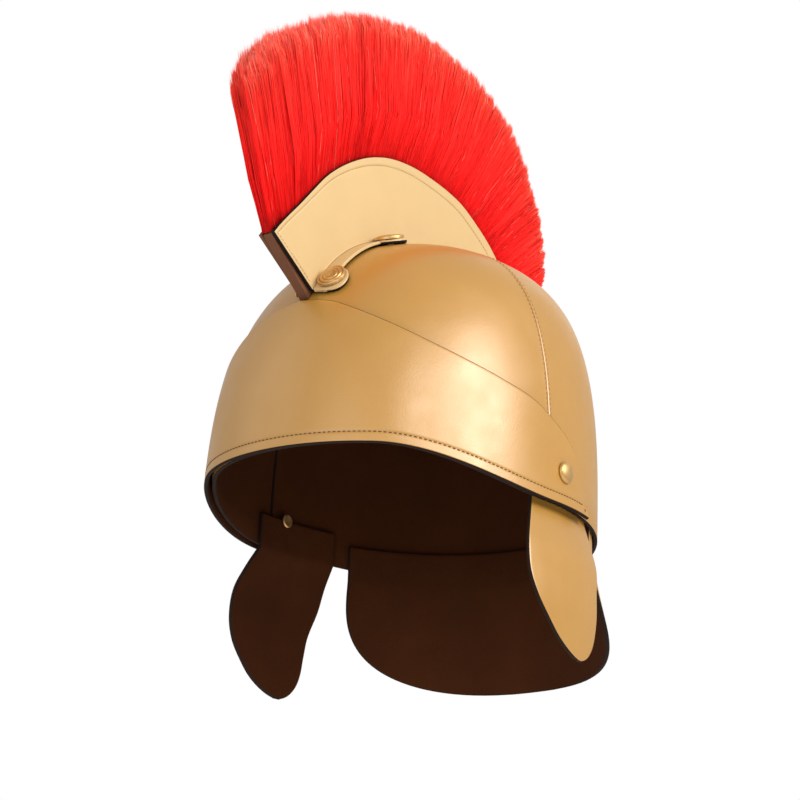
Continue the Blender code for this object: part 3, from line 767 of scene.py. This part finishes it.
def make_band():
    end = BAND_TOP[-1].angle

    def place(across, row):
        angle = (2 * across - 1) * end
        low, high = band_edges(angle)
        shrink = min((high - low) * BAND_NEAR_MOST / BAND_NEAR[-1], 1.0)
        if row < len(BAND_NEAR):
            above = BAND_NEAR[row] * shrink
            dip = groove(above - BAND_LINE, BAND_CREASE, BAND_CREASE_WIDTH)
        else:
            first = BAND_NEAR[-1] * shrink
            above = first + (high - low - first) * (row - len(BAND_NEAR) + 1) / BAND_ROWS
            dip = 0.0
        point = band_point(angle, low + above)
        return point - level_out(point) * dip if dip else point

    maker, _ = grid_sheet(even(BAND_COLUMNS), range(len(BAND_NEAR) + BAND_ROWS), place)
    leather_wall("brow_band", maker, BAND_BULGE)
    line, outs = [], []
    for i in range(BAND_LINE_POINTS + 1):
        angle = (2 * i / BAND_LINE_POINTS - 1) * (end - BAND_LINE_END)
        point = band_point(angle, band_edges(angle)[0] + BAND_LINE)
        outs.append(level_out(point))
        line.append(point - outs[-1] * BAND_STITCH_SUNK)
    rows = along_line(line, outs, BAND_STITCH.pitch)
    for side in (-1, 1):
        turn = side * (end - BAND_TACK_END)
        base = band_edges(turn)[0]
        low, high = band_point(turn, base + BAND_STITCH_SUNK), band_point(turn, base + BAND_LINE)
        rows.append(((low + high) / 2, (high - low).normalized(), level_out(low)))
    stitches("brow_band_stitches", rows, BAND_STITCH, THREAD)


# flaps
CHEEK_COLUMNS, CHEEK_ROWS = 56, 96
NECK_COLUMNS, NECK_ROWS = 130, 56
FLAP_BULGE = 0.0005


def make_flaps():
    for side, word in ((1, "left"), (-1, "right")):
        def place(across, down):
            return mirrored(cheek_point(across, down), side)

        maker, _ = grid_sheet(even(CHEEK_COLUMNS), even(CHEEK_ROWS), place)
        leather_wall(f"cheek_guard_{word}", maker, FLAP_BULGE)
    columns, rows = even(NECK_COLUMNS), even(NECK_ROWS)
    maker, points = grid_sheet(columns, rows, neck_point)
    normals = {vert: neck_normal(across, down)
               for across, column in zip(columns, points) for down, vert in zip(rows, column)}
    leather_wall("neck_guard", maker, FLAP_BULGE, normals=normals)


# crest
FOLD = 0.0008
FOOT_ROWS, FOLD_ROWS, PANEL_ROWS = 8, 6, 16
# the rows of faces in the fold that are painted a darker gold-brown, as painted shade in the corner between
# panel and foot
FOLD_SHADE_ROWS = (10, 11)
# distances below the panel's top edge that its stitched line needs
EDGE_NEAR = [0.00035 * i for i in range(20)]
EDGE_NEAR_MOST = 0.5
FINE_STEP, FINE_UNTIL, COARSE_STEP = 0.0007, 0.014, 0.0014
TAB_MARGIN = 0.0003
TAB_TURNS = range(-90, 91, 6)
CREST_BULGE = 0.0004
# the cut edge of the foot and of its tabs is gold on this share of its height from the outer face; below that
# it is dark, as painted shadow where they lie on the cap
FOOT_GOLD_ABOVE_SHADOW, TAB_GOLD_ABOVE_SHADOW = 0.62, 0.35
# the far panel's foot widens from this many folds, between these lengths from its front end
FAR_FOOT_LEAST, FAR_FOOT_STARTS = 1.5, (0.001, 0.012)
FRONT_LINE, FRONT_LINE_FROM, FRONT_LINE_POINTS = 0.0019, 0.0035, 40
TOP_LINE_STEPS, TOP_LINE_SKIPS = 240, 4
CREST_LINE, CREST_LINE_WIDTH = 0.0004, 0.0004
CREST_STITCH = Stitch(0.0021, 0.0017, 0.00026)
CREST_STITCH_SUNK = 0.00032
# how far the stitched line lies inside the panel's top edge
EDGE_LINE = table("place inset",
    (0.0, 0.0020), (0.10, 0.0023), (0.20, 0.0030), (0.35, 0.0040), (0.60, 0.0049), (1.0, 0.0049))


def crest_columns(side):
    """Lengths along the foot: close at the front end, and evenly turned round each tab."""
    lengths, at = {0.0, FOOT_TOTAL}, 0.0
    while at < FOOT_TOTAL:
        lengths.add(at)
        at += FINE_STEP if at < FINE_UNTIL else COARSE_STEP
    for middle in rivet_lengths(side):
        lengths = {value for value in lengths
                   if abs(value - middle) > TAB_RADIUS + TAB_MARGIN or value in (0.0, FOOT_TOTAL)}
    for middle in rivet_lengths(side):
        lengths |= {middle + TAB_RADIUS * math.sin(math.radians(turn)) for turn in TAB_TURNS}
    return sorted(value for value in lengths if 0.0 <= value <= FOOT_TOTAL)


def stitched_line():
    """The line inside the panel's front and top edges, in side view: (y, z) pairs."""
    (y, z), lean, rise = crest_section(0.0)
    inward = np.array((lean[1], -lean[0])) * FRONT_LINE
    ups = np.linspace(FRONT_LINE_FROM, rise - EDGE_LINE[0].inset, FRONT_LINE_POINTS)
    points = [np.array((y, z)) + np.array(lean) * up + inward for up in ups]
    for i in range(TOP_LINE_SKIPS, TOP_LINE_STEPS - TOP_LINE_SKIPS):
        here, ahead = crest_section(i / TOP_LINE_STEPS), crest_section((i + 1) / TOP_LINE_STEPS)
        a, b = (np.array(at) + np.array(way) * high for at, way, high in (here, ahead))
        along = (b - a) / np.linalg.norm(b - a)
        inset = smooth_value(EDGE_LINE, "inset", i / TOP_LINE_STEPS)
        points.append(a + np.array((along[1], -along[0])) * inset)
    return np.array(points)


def trim_crest(place, share):
    """The material of a place on a panel's cut edge, dark on the lower edge of the foot and tabs as painted
    shadow.
    """
    on_foot = abs(place.x) > CREST_HALF + FOLD
    on_tab = abs(place.x) > CREST_HALF + FOOT_WIDTH + FOLD
    # below the gold share the foot's and tabs' cut edge takes the dark edge material: painted shadow along
    # the cap
    return 0 if on_foot and share < (TAB_GOLD_ABOVE_SHADOW if on_tab else FOOT_GOLD_ABOVE_SHADOW) else 2


def make_crest_sides():
    outline = stitched_line()
    starts, steps = outline[:-1], np.diff(outline, axis=0)
    squares = (steps**2).sum(1)

    def line_distance(y, z):
        apart = np.array((y, z)) - starts
        t = np.clip((apart * steps).sum(1) / squares, 0, 1)
        return float(np.sqrt(((apart - steps * t[:, None]) ** 2).sum(1).min()))

    rows = [("foot", i / FOOT_ROWS) for i in range(FOOT_ROWS)] + [("fold", at) for at in even(FOLD_ROWS)]
    rows += [("panel", i) for i in range(1, PANEL_ROWS + len(EDGE_NEAR))]

    for side, word in ((1, "left"), (-1, "right")):
        def place(length, row):
            kind, at = rows[row]
            (y, z), lean, rise = crest_section(length / FOOT_TOTAL)
            lift = FOOT_CLEARANCE + LEATHER
            if kind == "foot":
                reach = foot_reach(side, length)
                if side < 0:
                    least = FOLD * FAR_FOOT_LEAST
                    reach = least + (reach - least) * ease(*FAR_FOOT_STARTS, length)
                x = CREST_HALF + FOLD + (reach - FOLD) * (1 - at)
                return Vector((side * x, y, cap_height(x, y, lift)))
            if kind == "fold":
                turn = at * math.pi / 2
                x = CREST_HALF + FOLD * (1 - math.sin(turn))
                up = FOLD * (1 - math.cos(turn))
                base = cap_height(x, y, lift)
                return Vector((side * x, y + lean[0] * up, base + lean[1] * up))
            shrink = min(rise * EDGE_NEAR_MOST / EDGE_NEAR[-1], 1.0)
            if at < PANEL_ROWS:
                up = FOLD + (rise - EDGE_NEAR[-1] * shrink - FOLD) * at / PANEL_ROWS
            else:
                up = rise - EDGE_NEAR[len(EDGE_NEAR) - 1 - (at - PANEL_ROWS)] * shrink
            point = (y + lean[0] * up, z + lean[1] * up)
            dip = groove(line_distance(*point), CREST_LINE, CREST_LINE_WIDTH)
            return Vector((side * (CREST_HALF - dip), *point))

        columns = crest_columns(side)
        maker, _ = grid_sheet(columns, range(len(rows)), place)
        maker.faces.ensure_lookup_table()
        # painted shade: the fold's middle rows take the darker gold-brown
        for i in range(len(columns) - 1):
            for row in FOLD_SHADE_ROWS:
                maker.faces[i * (len(rows) - 1) + row].material_index = 3
        leather_wall(f"crest_side_{word}", maker, CREST_BULGE, (0, 0, CROWN_HEIGHT / 2), trim=trim_crest,
                     materials=(GOLD_PANEL, LINING, BLACK_EDGE if side > 0 else CORE, FOLD_SHADE))
    rows = []
    for side in (1, -1):
        line = [Vector((side * (CREST_HALF - CREST_STITCH_SUNK), *point)) for point in outline]
        rows += along_line(line, [Vector((side, 0, 0))] * len(line), CREST_STITCH.pitch)
    stitches("crest_stitches", rows, CREST_STITCH, SEAM_THREAD)


CORE_COLUMNS, CORE_ROWS, CORE_STEPS = 180, 20, 8
CORE_BULGE = 0.0003
CORE_FRONT_INSET = 0.0006
FRONT_SHARES = (0.012, 0.05)


def front_share(share):
    """0 at the crest's front end, where core and bristles reach its top corner, and 1 behind it."""
    return ease(*FRONT_SHARES, share)


def make_core():
    def place(across, up):
        (y, z), lean, rise = crest_section(across)
        bottom = cap_height(CORE_HALF, y, FOOT_CLEARANCE)
        inset = (CORE_INSET - CORE_FRONT_INSET) * front_share(across)
        tall = max(rise - CORE_FRONT_INSET - inset, rise * CORE_LEAST)
        return Vector((CORE_HALF, y + lean[0] * tall * up, bottom + (z + lean[1] * tall - bottom) * up))

    maker, _ = grid_sheet(even(CORE_COLUMNS), even(CORE_ROWS), place)
    leather_wall("crest_core", maker, CORE_BULGE, (0, 0, CROWN_HEIGHT), 2 * CORE_HALF,
                 (CORE, CORE, CORE), "brown_core", steps=CORE_STEPS)


# rivets
# head outlines as shares of the head's radius and height
BUTTON = [
    (1.0, 0.0), (1.0, 0.20), (0.985, 0.28), (0.95, 0.33), (0.89, 0.34), (0.86, 0.30), (0.845, 0.23),
    (0.82, 0.23), (0.805, 0.32), (0.77, 0.40), (0.70, 0.43), (0.625, 0.43), (0.59, 0.39), (0.575, 0.32),
    (0.55, 0.32), (0.535, 0.40), (0.50, 0.455), (0.44, 0.475), (0.385, 0.465), (0.355, 0.43), (0.34, 0.37),
    (0.315, 0.37), (0.30, 0.44), (0.25, 0.49), (0.12, 0.51), (0.0, 0.515)]
# crest rivets' heads are this much wider and higher than the solids', and hide their tabs as in the photo
HEAD_SPREAD, HEAD_RISE = 1.06, 1.2
DOME_SPREAD, DOME_FOOT, DOME_RISE = 0.975, 0.22, 0.78
DOME = ([(1.0, 0.0), (1.0, 0.16), (0.985, 0.28)]
        + [(math.cos(math.radians(turn)) * DOME_SPREAD, DOME_FOOT + DOME_RISE * math.sin(math.radians(turn)))
           for turn in range(12, 90, 6)] + [(0.0, 1.0)])


# the clinched end: radius, and height over its foot
CLINCH = ((0.0, 0.00035), (0.0012, 0.0003), (0.0020, 0.0), (0.0029, 0.0), (CLINCH_RADIUS, 0.0004),
          (CLINCH_RADIUS, 0.0007))
CLINCH_NECK = 0.0031


def rivet_profile(outline, radius, height, grip):
    foot = -grip - CLINCH_THICKNESS
    shank = [(CLINCH_NECK, -grip), (SHANK_RADIUS, -grip), (SHANK_RADIUS, 0.0)]
    return ([(wide, foot + rise) for wide, rise in CLINCH] + shank
            + [(radius * share, height * rise) for share, rise in outline])


def make_rivets():
    grip = HEAD_CLEARANCE + 2 * LEATHER + FOOT_CLEARANCE + CLINCH_CLEARANCE
    profile = rivet_profile(BUTTON, CREST_RIVET_RADIUS * HEAD_SPREAD, CREST_RIVET_HEIGHT * HEAD_RISE, grip)
    for side, word in ((1, "left"), (-1, "right")):
        for number, length in enumerate(rivet_lengths(side), start=1):
            x, y = side * (CREST_HALF + CREST_RIVET_OFFSET), foot_y(length)
            axis = cap_normal(x, y, cap_height(x, y, 0.0))
            centre = Vector((x, y, cap_height(x, y, FOOT_CLEARANCE + LEATHER))) + axis * HEAD_CLEARANCE
            lathe(f"crest_rivet_{word}_{number}", profile, centre, axis)
    seat = cap_at_height(SIDE_RIVET_ANGLE, SIDE_RIVET_Z, 0.0)
    axis = cap_normal(*seat)
    outer = band_offset(SIDE_RIVET_ANGLE, SIDE_RIVET_Z) + HEAD_CLEARANCE
    grip = outer + 2 * LEATHER + FLAP_CLEARANCE + CLINCH_CLEARANCE
    profile = rivet_profile(DOME, SIDE_RIVET_RADIUS, SIDE_RIVET_HEIGHT, grip)
    for side, word in ((1, "left"), (-1, "right")):
        turned = mirrored(axis, side)
        lathe(f"side_rivet_{word}", profile, mirrored(seat, side) + turned * outer, turned)


# plume
PLUME_PIECES, BRISTLES = 3, 12400
PLAN_SEED, PIECE_SEED = 11, 70
BRISTLE_WIDTH, BRISTLE_WIDTHS = 0.00036, (0.7, 1.2)
# a bristle's rings: share of its length, width, pull into its tuft, and bend
RINGS = table("share width pull bend",
    (0.0, 0.8, 0.0, 0.0), (0.36, 1.0, 0.03, 1.0), (0.93, 0.7, 0.22, 0.10), (1.0, 0.0, 0.62, 0.0))
# the loose tips stand a little further out than the plain plume that they replace
LONGER = table("place factor",
    (0.0, 1.00), (0.08, 1.035), (0.2, 1.04), (0.35, 1.02), (0.6, 1.0), (1.0, 0.99))
# bristles gather in tufts at their tips, and in locks along their length: pitches over the brush's top
TUFT, LOCK, JITTER, PARTS = 0.0034, 0.0019, 0.36, 60
TUFT_LEAN, TUFT_HALF = 0.011, 0.62
LOCK_BEND, LOCK_APART = 0.0005, 0.0004
# the share of the bristles that stand evenly at their tips: the others stand evenly at their roots
EVEN_TIPS = 0.8
SIDE_CROWDING = 0.6
# the brush narrows towards its front and back ends
NOSE_FRONT, NOSE_BACK, NOSE_POWER, NOSE_LEAST = 0.020, 0.012, 0.6, 0.30
# shares of the length by which bristles differ
TUFT_STEP, TUFT_EDGE, LOOSE, SIDE_SHORTER, SIDE_POWER = 0.018, 0.035, 0.035, 0.06, 2.5
SHORT_SHARE, SHORT_REACH = 0.08, (0.82, 0.97)
FRIZZ_SHARE, FRIZZ_REACH, FRIZZ_LEAN, FRIZZ_WIDTH = 0.015, (1.0, 1.025), 0.03, 0.6
OWN_LEAN, OWN_BEND, OWN_SPREAD = 0.015, 0.0008, 0.02
SWEEP, SWEEP_STARTS, SWEEP_ENDS = 0.0034, (0.03, 0.16), (0.5, 0.8)
WAVE, WAVE_ALONG, WAVE_ACROSS = 0.0010, 200, 2.1
ROOT_FILL = 0.95
# a bristle's shade on its map, with its corners a little apart so that each face has an area there
TONE_OF_LOCK, TONE_OF_OWN, TONE_SPAN, TONE_APART = 0.55, 0.38, 0.97, 0.02
MAP_LOW, MAP_SPAN = 0.002, 0.996
FADES, FRONT_FADE, FRONT_FADE_ENDS = (0.90, 1.0), 0.06, 0.012


def scattered(draw, pitch):
    """Places about a pitch apart over the brush's top: travelled length, and distance from its middle."""
    rows, columns = max(round(2 * PLUME_HALF / pitch), 1), int(TOP_LENGTH / pitch)
    along, across = np.meshgrid((np.arange(columns) + 0.5) * TOP_LENGTH / columns,
                                (np.arange(rows) + 0.5) * 2 * PLUME_HALF / rows - PLUME_HALF, indexing="ij")
    along = along + (np.arange(rows) % 2)[None, :] * pitch / 2
    places = np.stack([along, across], 2).reshape(-1, 2)
    return places + draw.uniform(-JITTER, JITTER, places.shape) * pitch


def nearest(places, points):
    """The number of the nearest place, for each point."""
    parts = np.array_split(points, PARTS)
    return np.concatenate([((part[:, None] - places[None]) ** 2).sum(2).argmin(1) for part in parts])


def plume_table(steps=500):
    """Rows along the crest: edge y, z, stand y, z, rise, lean, length and the tips' travelled length."""
    rows = []
    for share in even(steps):
        (y, z), stand, rise = crest_section(share)
        rise += FOOT_CLEARANCE
        lean = math.radians(smooth_value(PLUME_FORM, "lean", share))
        length = PLUME_LENGTH * smooth_value(PLUME_FORM, "length", share)
        rows.append((y + stand[0] * rise, z + stand[1] * rise, *stand, rise, lean, length))
    table = np.array(rows)
    tips = table[:, :2] + np.stack([np.sin(table[:, 5]), np.cos(table[:, 5])], 1) * table[:, 6:7]
    travel = np.concatenate([[0], np.cumsum(np.linalg.norm(np.diff(tips, axis=0), axis=1))])
    return table, travel


TABLE, TRAVEL = plume_table()
SHARES = np.linspace(0, 1, len(TABLE))
TOP_LENGTH = TRAVEL[-1]


def at_share(share):
    return np.stack([np.interp(share, SHARES, column) for column in TABLE.T], 1)


def thickness_at(share):
    return PLUME_HALF * np.interp(share, PLUME_SHARES, PLUME_THICKNESS)


def bristle_lines(draw, brush):
    """The bristles' rings of points, which are loose, their locks and their places along the top."""
    tufts, locks, tuft_reach, tuft_lean, lock_shift = brush
    count = BRISTLES
    far = np.interp(draw.uniform(0, TOP_LENGTH, count), TRAVEL, SHARES)
    share = np.where(draw.random(count) < EVEN_TIPS, far, draw.random(count))
    side = draw.uniform(-1, 1, count)
    side = np.sign(side) * np.abs(side) ** SIDE_CROWDING
    row = at_share(share)
    edge, stand, rise, lean, length = row[:, :2], row[:, 2:4], row[:, 4], row[:, 5], row[:, 6]
    length = length * np.array([smooth_value(LONGER, "factor", value) for value in share])
    root = np.maximum(rise - PLUME_ROOT * front_share(share), rise * PLUME_ROOT_LEAST)
    base = edge - stand * (rise - root)[:, None]
    travelled = np.interp(share, SHARES, TRAVEL)
    nose = np.minimum(travelled / NOSE_FRONT, (TOP_LENGTH - travelled) / NOSE_BACK)
    nose = NOSE_LEAST + (1 - NOSE_LEAST) * np.clip(nose, 0, 1) ** NOSE_POWER
    on_top = np.stack([travelled, side * PLUME_HALF], 1)
    tuft, lock = nearest(tufts, on_top), nearest(locks, on_top)
    away = tufts[tuft] - on_top
    off = np.clip(np.hypot(away[:, 0], away[:, 1]) / (TUFT * TUFT_HALF), 0, 1)
    reach = 1.0 + TUFT_STEP * tuft_reach[tuft] - TUFT_EDGE * off**2 - LOOSE * draw.random(count) ** 2
    reach *= 1 - SIDE_SHORTER * np.abs(side) ** SIDE_POWER
    reach = np.where(draw.random(count) < SHORT_SHARE, reach * draw.uniform(*SHORT_REACH, count), reach)
    frizz = draw.random(count) < FRIZZ_SHARE
    reach = np.where(frizz, reach * draw.uniform(*FRIZZ_REACH, count), reach)
    own = lean + draw.normal(0, OWN_LEAN, count) + tuft_lean[tuft]
    own = own + np.where(frizz, draw.normal(0, FRIZZ_LEAN, count), 0)
    sweep = SWEEP * (ease(*SWEEP_STARTS, share) * (1 - ease(*SWEEP_ENDS, share)))
    wave = np.sin(travelled * WAVE_ALONG + side * WAVE_ACROSS) * WAVE
    wave = wave + lock_shift[lock, 0] * LOCK_BEND + sweep
    direction = np.stack([np.sin(own), np.cos(own)], 1)
    across = np.stack([np.cos(own), -np.sin(own)], 1)
    points = []
    for ring in RINGS:
        spot = edge + direction * (length * reach * ring.share)[:, None]
        bent = wave + draw.normal(0, OWN_BEND, count)
        spot += across * (away[:, 0] * ring.pull + bent * ring.bend)[:, None]
        gathered = side + away[:, 1] / PLUME_HALF * ring.pull
        x = gathered * thickness_at(ring.share) * nose * (1 + draw.normal(0, OWN_SPREAD, count))
        x += lock_shift[lock, 1] * LOCK_APART * ring.bend
        if ring.share == 0.0:
            spot, x = base, side * CORE_HALF * ROOT_FILL
        points.append(np.column_stack([x, spot]))
    return points, frizz, lock, travelled


# a bristle's faces: a three-sided tube of three rings, closed at its root and pointed at its tip
TUBE_POINTS = 10
TUBE_FACES = ([(0, 2, 1)]
              + [(low + k, low + (k + 1) % 3, low + 3 + (k + 1) % 3, low + 3 + k)
                 for low in (0, 3) for k in range(3)]
              + [(6 + k, 6 + (k + 1) % 3, 9) for k in range(3)])
TUBE_LOOPS = np.concatenate([np.array(face) for face in TUBE_FACES])


def bristle_mesh(name, points, spin, width):
    axis = points[-1] - points[0]
    axis /= np.linalg.norm(axis, axis=1)[:, None]
    first = np.cross(axis, np.array([1.0, 0.3, 0.1]))
    first /= np.linalg.norm(first, axis=1)[:, None]
    second = np.cross(axis, first)
    verts = np.empty((BRISTLES, TUBE_POINTS, 3))
    for level, (point, ring) in enumerate(zip(points[:3], RINGS)):
        for k in range(3):
            turn = spin + 2 * math.pi * k / 3
            out = first * np.cos(turn)[:, None] + second * np.sin(turn)[:, None]
            verts[:, level * 3 + k] = point + out * (width * ring.width / 2)[:, None]
    verts[:, -1] = points[-1]
    starts = np.concatenate([[0], np.cumsum([len(face) for face in TUBE_FACES])[:-1]])
    numbers = np.arange(BRISTLES)[:, None]
    mesh = bpy.data.meshes.new(name)
    mesh.vertices.add(BRISTLES * TUBE_POINTS)
    mesh.vertices.foreach_set("co", verts.reshape(-1))
    mesh.loops.add(BRISTLES * len(TUBE_LOOPS))
    mesh.loops.foreach_set("vertex_index", (TUBE_LOOPS + TUBE_POINTS * numbers).ravel())
    mesh.polygons.add(BRISTLES * len(TUBE_FACES))
    mesh.polygons.foreach_set("loop_start", (starts + len(TUBE_LOOPS) * numbers).ravel())
    mesh.update(calc_edges=True)
    mesh.validate()
    ends = np.empty(len(mesh.edges) * 2, dtype=np.int32)
    mesh.edges.foreach_get("vertices", ends)
    at_tip = (ends.reshape(-1, 2) % TUBE_POINTS == TUBE_POINTS - 1).any(axis=1)
    mesh.edges.foreach_set("use_edge_sharp", at_tip)
    mesh.shade_smooth()
    return mesh


def make_bristles():
    plan = np.random.default_rng(PLAN_SEED)
    tufts, locks = scattered(plan, TUFT), scattered(plan, LOCK)
    tuft_reach, tuft_lean = plan.uniform(-1, 1, len(tufts)), plan.normal(0, TUFT_LEAN, len(tufts))
    lock_tone, lock_shift = plan.random(len(locks)), plan.normal(0, 1, (len(locks), 2))
    brush = (tufts, locks, tuft_reach, tuft_lean, lock_shift)
    along = np.repeat([ring.share for ring in RINGS], 3)[:TUBE_POINTS]
    apart = np.array([0, 1, 2, 0, 1, 2, 0, 1, 2, 1]) / 3 * TONE_APART
    for piece in range(PLUME_PIECES):
        draw = np.random.default_rng(PIECE_SEED + piece)
        points, frizz, lock, travelled = bristle_lines(draw, brush)
        spin = draw.uniform(0, 2 * math.pi, BRISTLES)
        width = BRISTLE_WIDTH * draw.uniform(*BRISTLE_WIDTHS, BRISTLES) * np.where(frizz, FRIZZ_WIDTH, 1.0)
        mesh = bristle_mesh(f"plume_bristles_{piece + 1}", points, spin, width)
        tone = np.where(frizz, 1.0, TONE_OF_LOCK * lock_tone[lock] + TONE_OF_OWN * draw.random(BRISTLES))
        fade = draw.uniform(*FADES, BRISTLES) - FRONT_FADE * (1 - ease(0.0, FRONT_FADE_ENDS, travelled))
        uv = np.stack([tone[:, None] * TONE_SPAN + apart[TUBE_LOOPS][None, :],
                       fade[:, None] * along[TUBE_LOOPS][None, :] * MAP_SPAN + MAP_LOW], 2)
        mesh.uv_layers.new(name="OFBake").data.foreach_set("uv", uv.reshape(-1))
        finish_piece(f"plume_bristles_{piece + 1}", mesh, [BRISTLE], ["plume"])


# the body inside the bristles: shares of their length, and half thickness as a share of the plume's there
INSIDE = ((0.0, 0.9), (0.05, 0.66), (0.15, 0.66), (0.3, 0.66), (0.45, 0.66), (0.6, 0.66), (0.70, 0.66),
          (0.76, 0.66 * 0.7), (0.78, 0.0))
INSIDE_ROOT = 0.9
INSIDE_STEPS = 220
INSIDE_PINCH = 0.10


def make_plume_inside():
    sections = []
    for i in range(INSIDE_STEPS + 1):
        share = i / INSIDE_STEPS
        row = at_share(np.array([share]))[0]
        edge, stand, rise, lean, length = row[:2], row[2:4], row[4], row[5], row[6]
        direction = np.array((math.sin(lean), math.cos(lean)))
        root = edge - stand * (rise - max(rise - PLUME_ROOT * front_share(share), rise * PLUME_ROOT_LEAST))
        pinch = min(min(i, INSIDE_STEPS - i) / INSIDE_STEPS / INSIDE_PINCH, 1.0) ** NOSE_POWER
        column = [(0.0, root), (CORE_HALF * INSIDE_ROOT, root)]
        column += [(float(thickness_at(t)) * factor, edge + direction * length * t) for t, factor in INSIDE]
        sections.append([(half * pinch, spot) for half, spot in column])
    maker, grid = bmesh.new(), {}
    for side in (1, -1):
        for i, column in enumerate(sections):
            for j, (half, spot) in enumerate(column):
                key = (i, j, 0 if half == 0.0 else side)
                if key not in grid:
                    grid[key] = maker.verts.new((side * half, spot[0], spot[1]))
                grid[(i, j, side)] = grid[key]
        for i in range(INSIDE_STEPS):
            for j in range(len(sections[0]) - 1):
                corners = [grid[place] for place in (
                    (i, j, side), (i + 1, j, side), (i + 1, j + 1, side), (i, j + 1, side))]
                add_face(maker, corners if side > 0 else reversed(corners))
    maker.normal_update()
    bmesh.ops.recalc_face_normals(maker, faces=maker.faces[:])
    finish_piece("plume_inside", mesh_from("plume_inside", maker, SHARP_SMALL), [PLUME_INSIDE],
                 ["plume"])


# studio
FLOOR_SIDES, FLOOR_RADIUS, FLOOR_Z = 96, 40.0, -0.62
LIGHT_TARGET = (0, 0, 0.1)
# softboxes: degrees round from the front and up, distance and size in metres, watts
LIGHTS = table("name azimuth elevation distance size power",
    ("key_light", 97, 24, 1.7, 1.05, 20.5), ("side_light", 64, 22, 1.7, 0.8, 7.0),
    ("front_light", 12, 5, 2.0, 1.6, 7.5), ("fill_light", -45, 25, 1.9, 1.4, 2.5),
    ("back_light", 205, 35, 1.9, 1.2, 1.8))
# the world's strength as a light, and as the camera sees it
WORLD_LIGHT, WORLD_SEEN = 0.59, 1.0
# the camera that was fitted to the photo
SENSOR, LENS, SHIFT_UP, CLIP = 36.0, 120.87, 0.0031, (0.01, 50.0)
CAMERA_AXES = ((0.7913, 0.6106, 0.0332), (0.1599, -0.259, 0.9525), (0.5902, -0.7484, -0.3026))
CAMERA_PLACE = (0.79677, -1.01869, -0.34908)


def make_softbox(light):
    data = bpy.data.lights.new(light.name, "AREA")
    data.shape, data.size, data.energy = "DISK", light.size, light.power
    lamp = link(light.name, data)
    a, e = math.radians(light.azimuth), math.radians(light.elevation)
    away = Vector((math.sin(a) * math.cos(e), -math.cos(a) * math.cos(e), math.sin(e)))
    lamp.location = Vector(LIGHT_TARGET) + away * light.distance
    lamp.rotation_mode = "QUATERNION"
    lamp.rotation_quaternion = away.to_track_quat("Z", "Y")


def make_studio():
    bpy.ops.mesh.primitive_circle_add(vertices=FLOOR_SIDES, radius=FLOOR_RADIUS, fill_type="NGON",
                                      location=(0, 0, FLOOR_Z))
    floor = bpy.context.object
    floor.name = "studio_floor"
    floor.data.materials.append(Surface("pale_floor", (0.95, 0.95, 0.94), 0.9).material)
    for light in LIGHTS:
        make_softbox(light)

    world = bpy.data.worlds.new("studio")
    bpy.context.scene.world = world
    world.use_nodes = True
    tree = world.node_tree
    path, mix = tree.nodes.new("ShaderNodeLightPath"), tree.nodes.new("ShaderNodeMixShader")
    tree.links.new(path.outputs["Is Camera Ray"], mix.inputs["Fac"])
    backgrounds = (tree.nodes["Background"], tree.nodes.new("ShaderNodeBackground"))
    for number, (node, strength) in enumerate(zip(backgrounds, (WORLD_LIGHT, WORLD_SEEN)), start=1):
        fill(node, {"Color": (1, 1, 1, 1), "Strength": strength})
        tree.links.new(node.outputs["Background"], mix.inputs[number])
    tree.links.new(mix.outputs["Shader"], tree.nodes["World Output"].inputs["Surface"])
    bpy.context.scene.view_settings.view_transform = "Standard"

    data = bpy.data.cameras.new("camera")
    data.sensor_width, data.lens, data.shift_y = SENSOR, LENS, SHIFT_UP
    data.clip_start, data.clip_end = CLIP
    matrix = Matrix(CAMERA_AXES).transposed().to_4x4()
    matrix.translation = Vector(CAMERA_PLACE)
    camera = link("camera", data)
    camera.matrix_world = matrix
    bpy.context.scene.camera = camera


make_caps()
make_band()
make_flaps()
make_crest_sides()
make_core()
make_rivets()
make_bristles()
make_plume_inside()
make_studio()
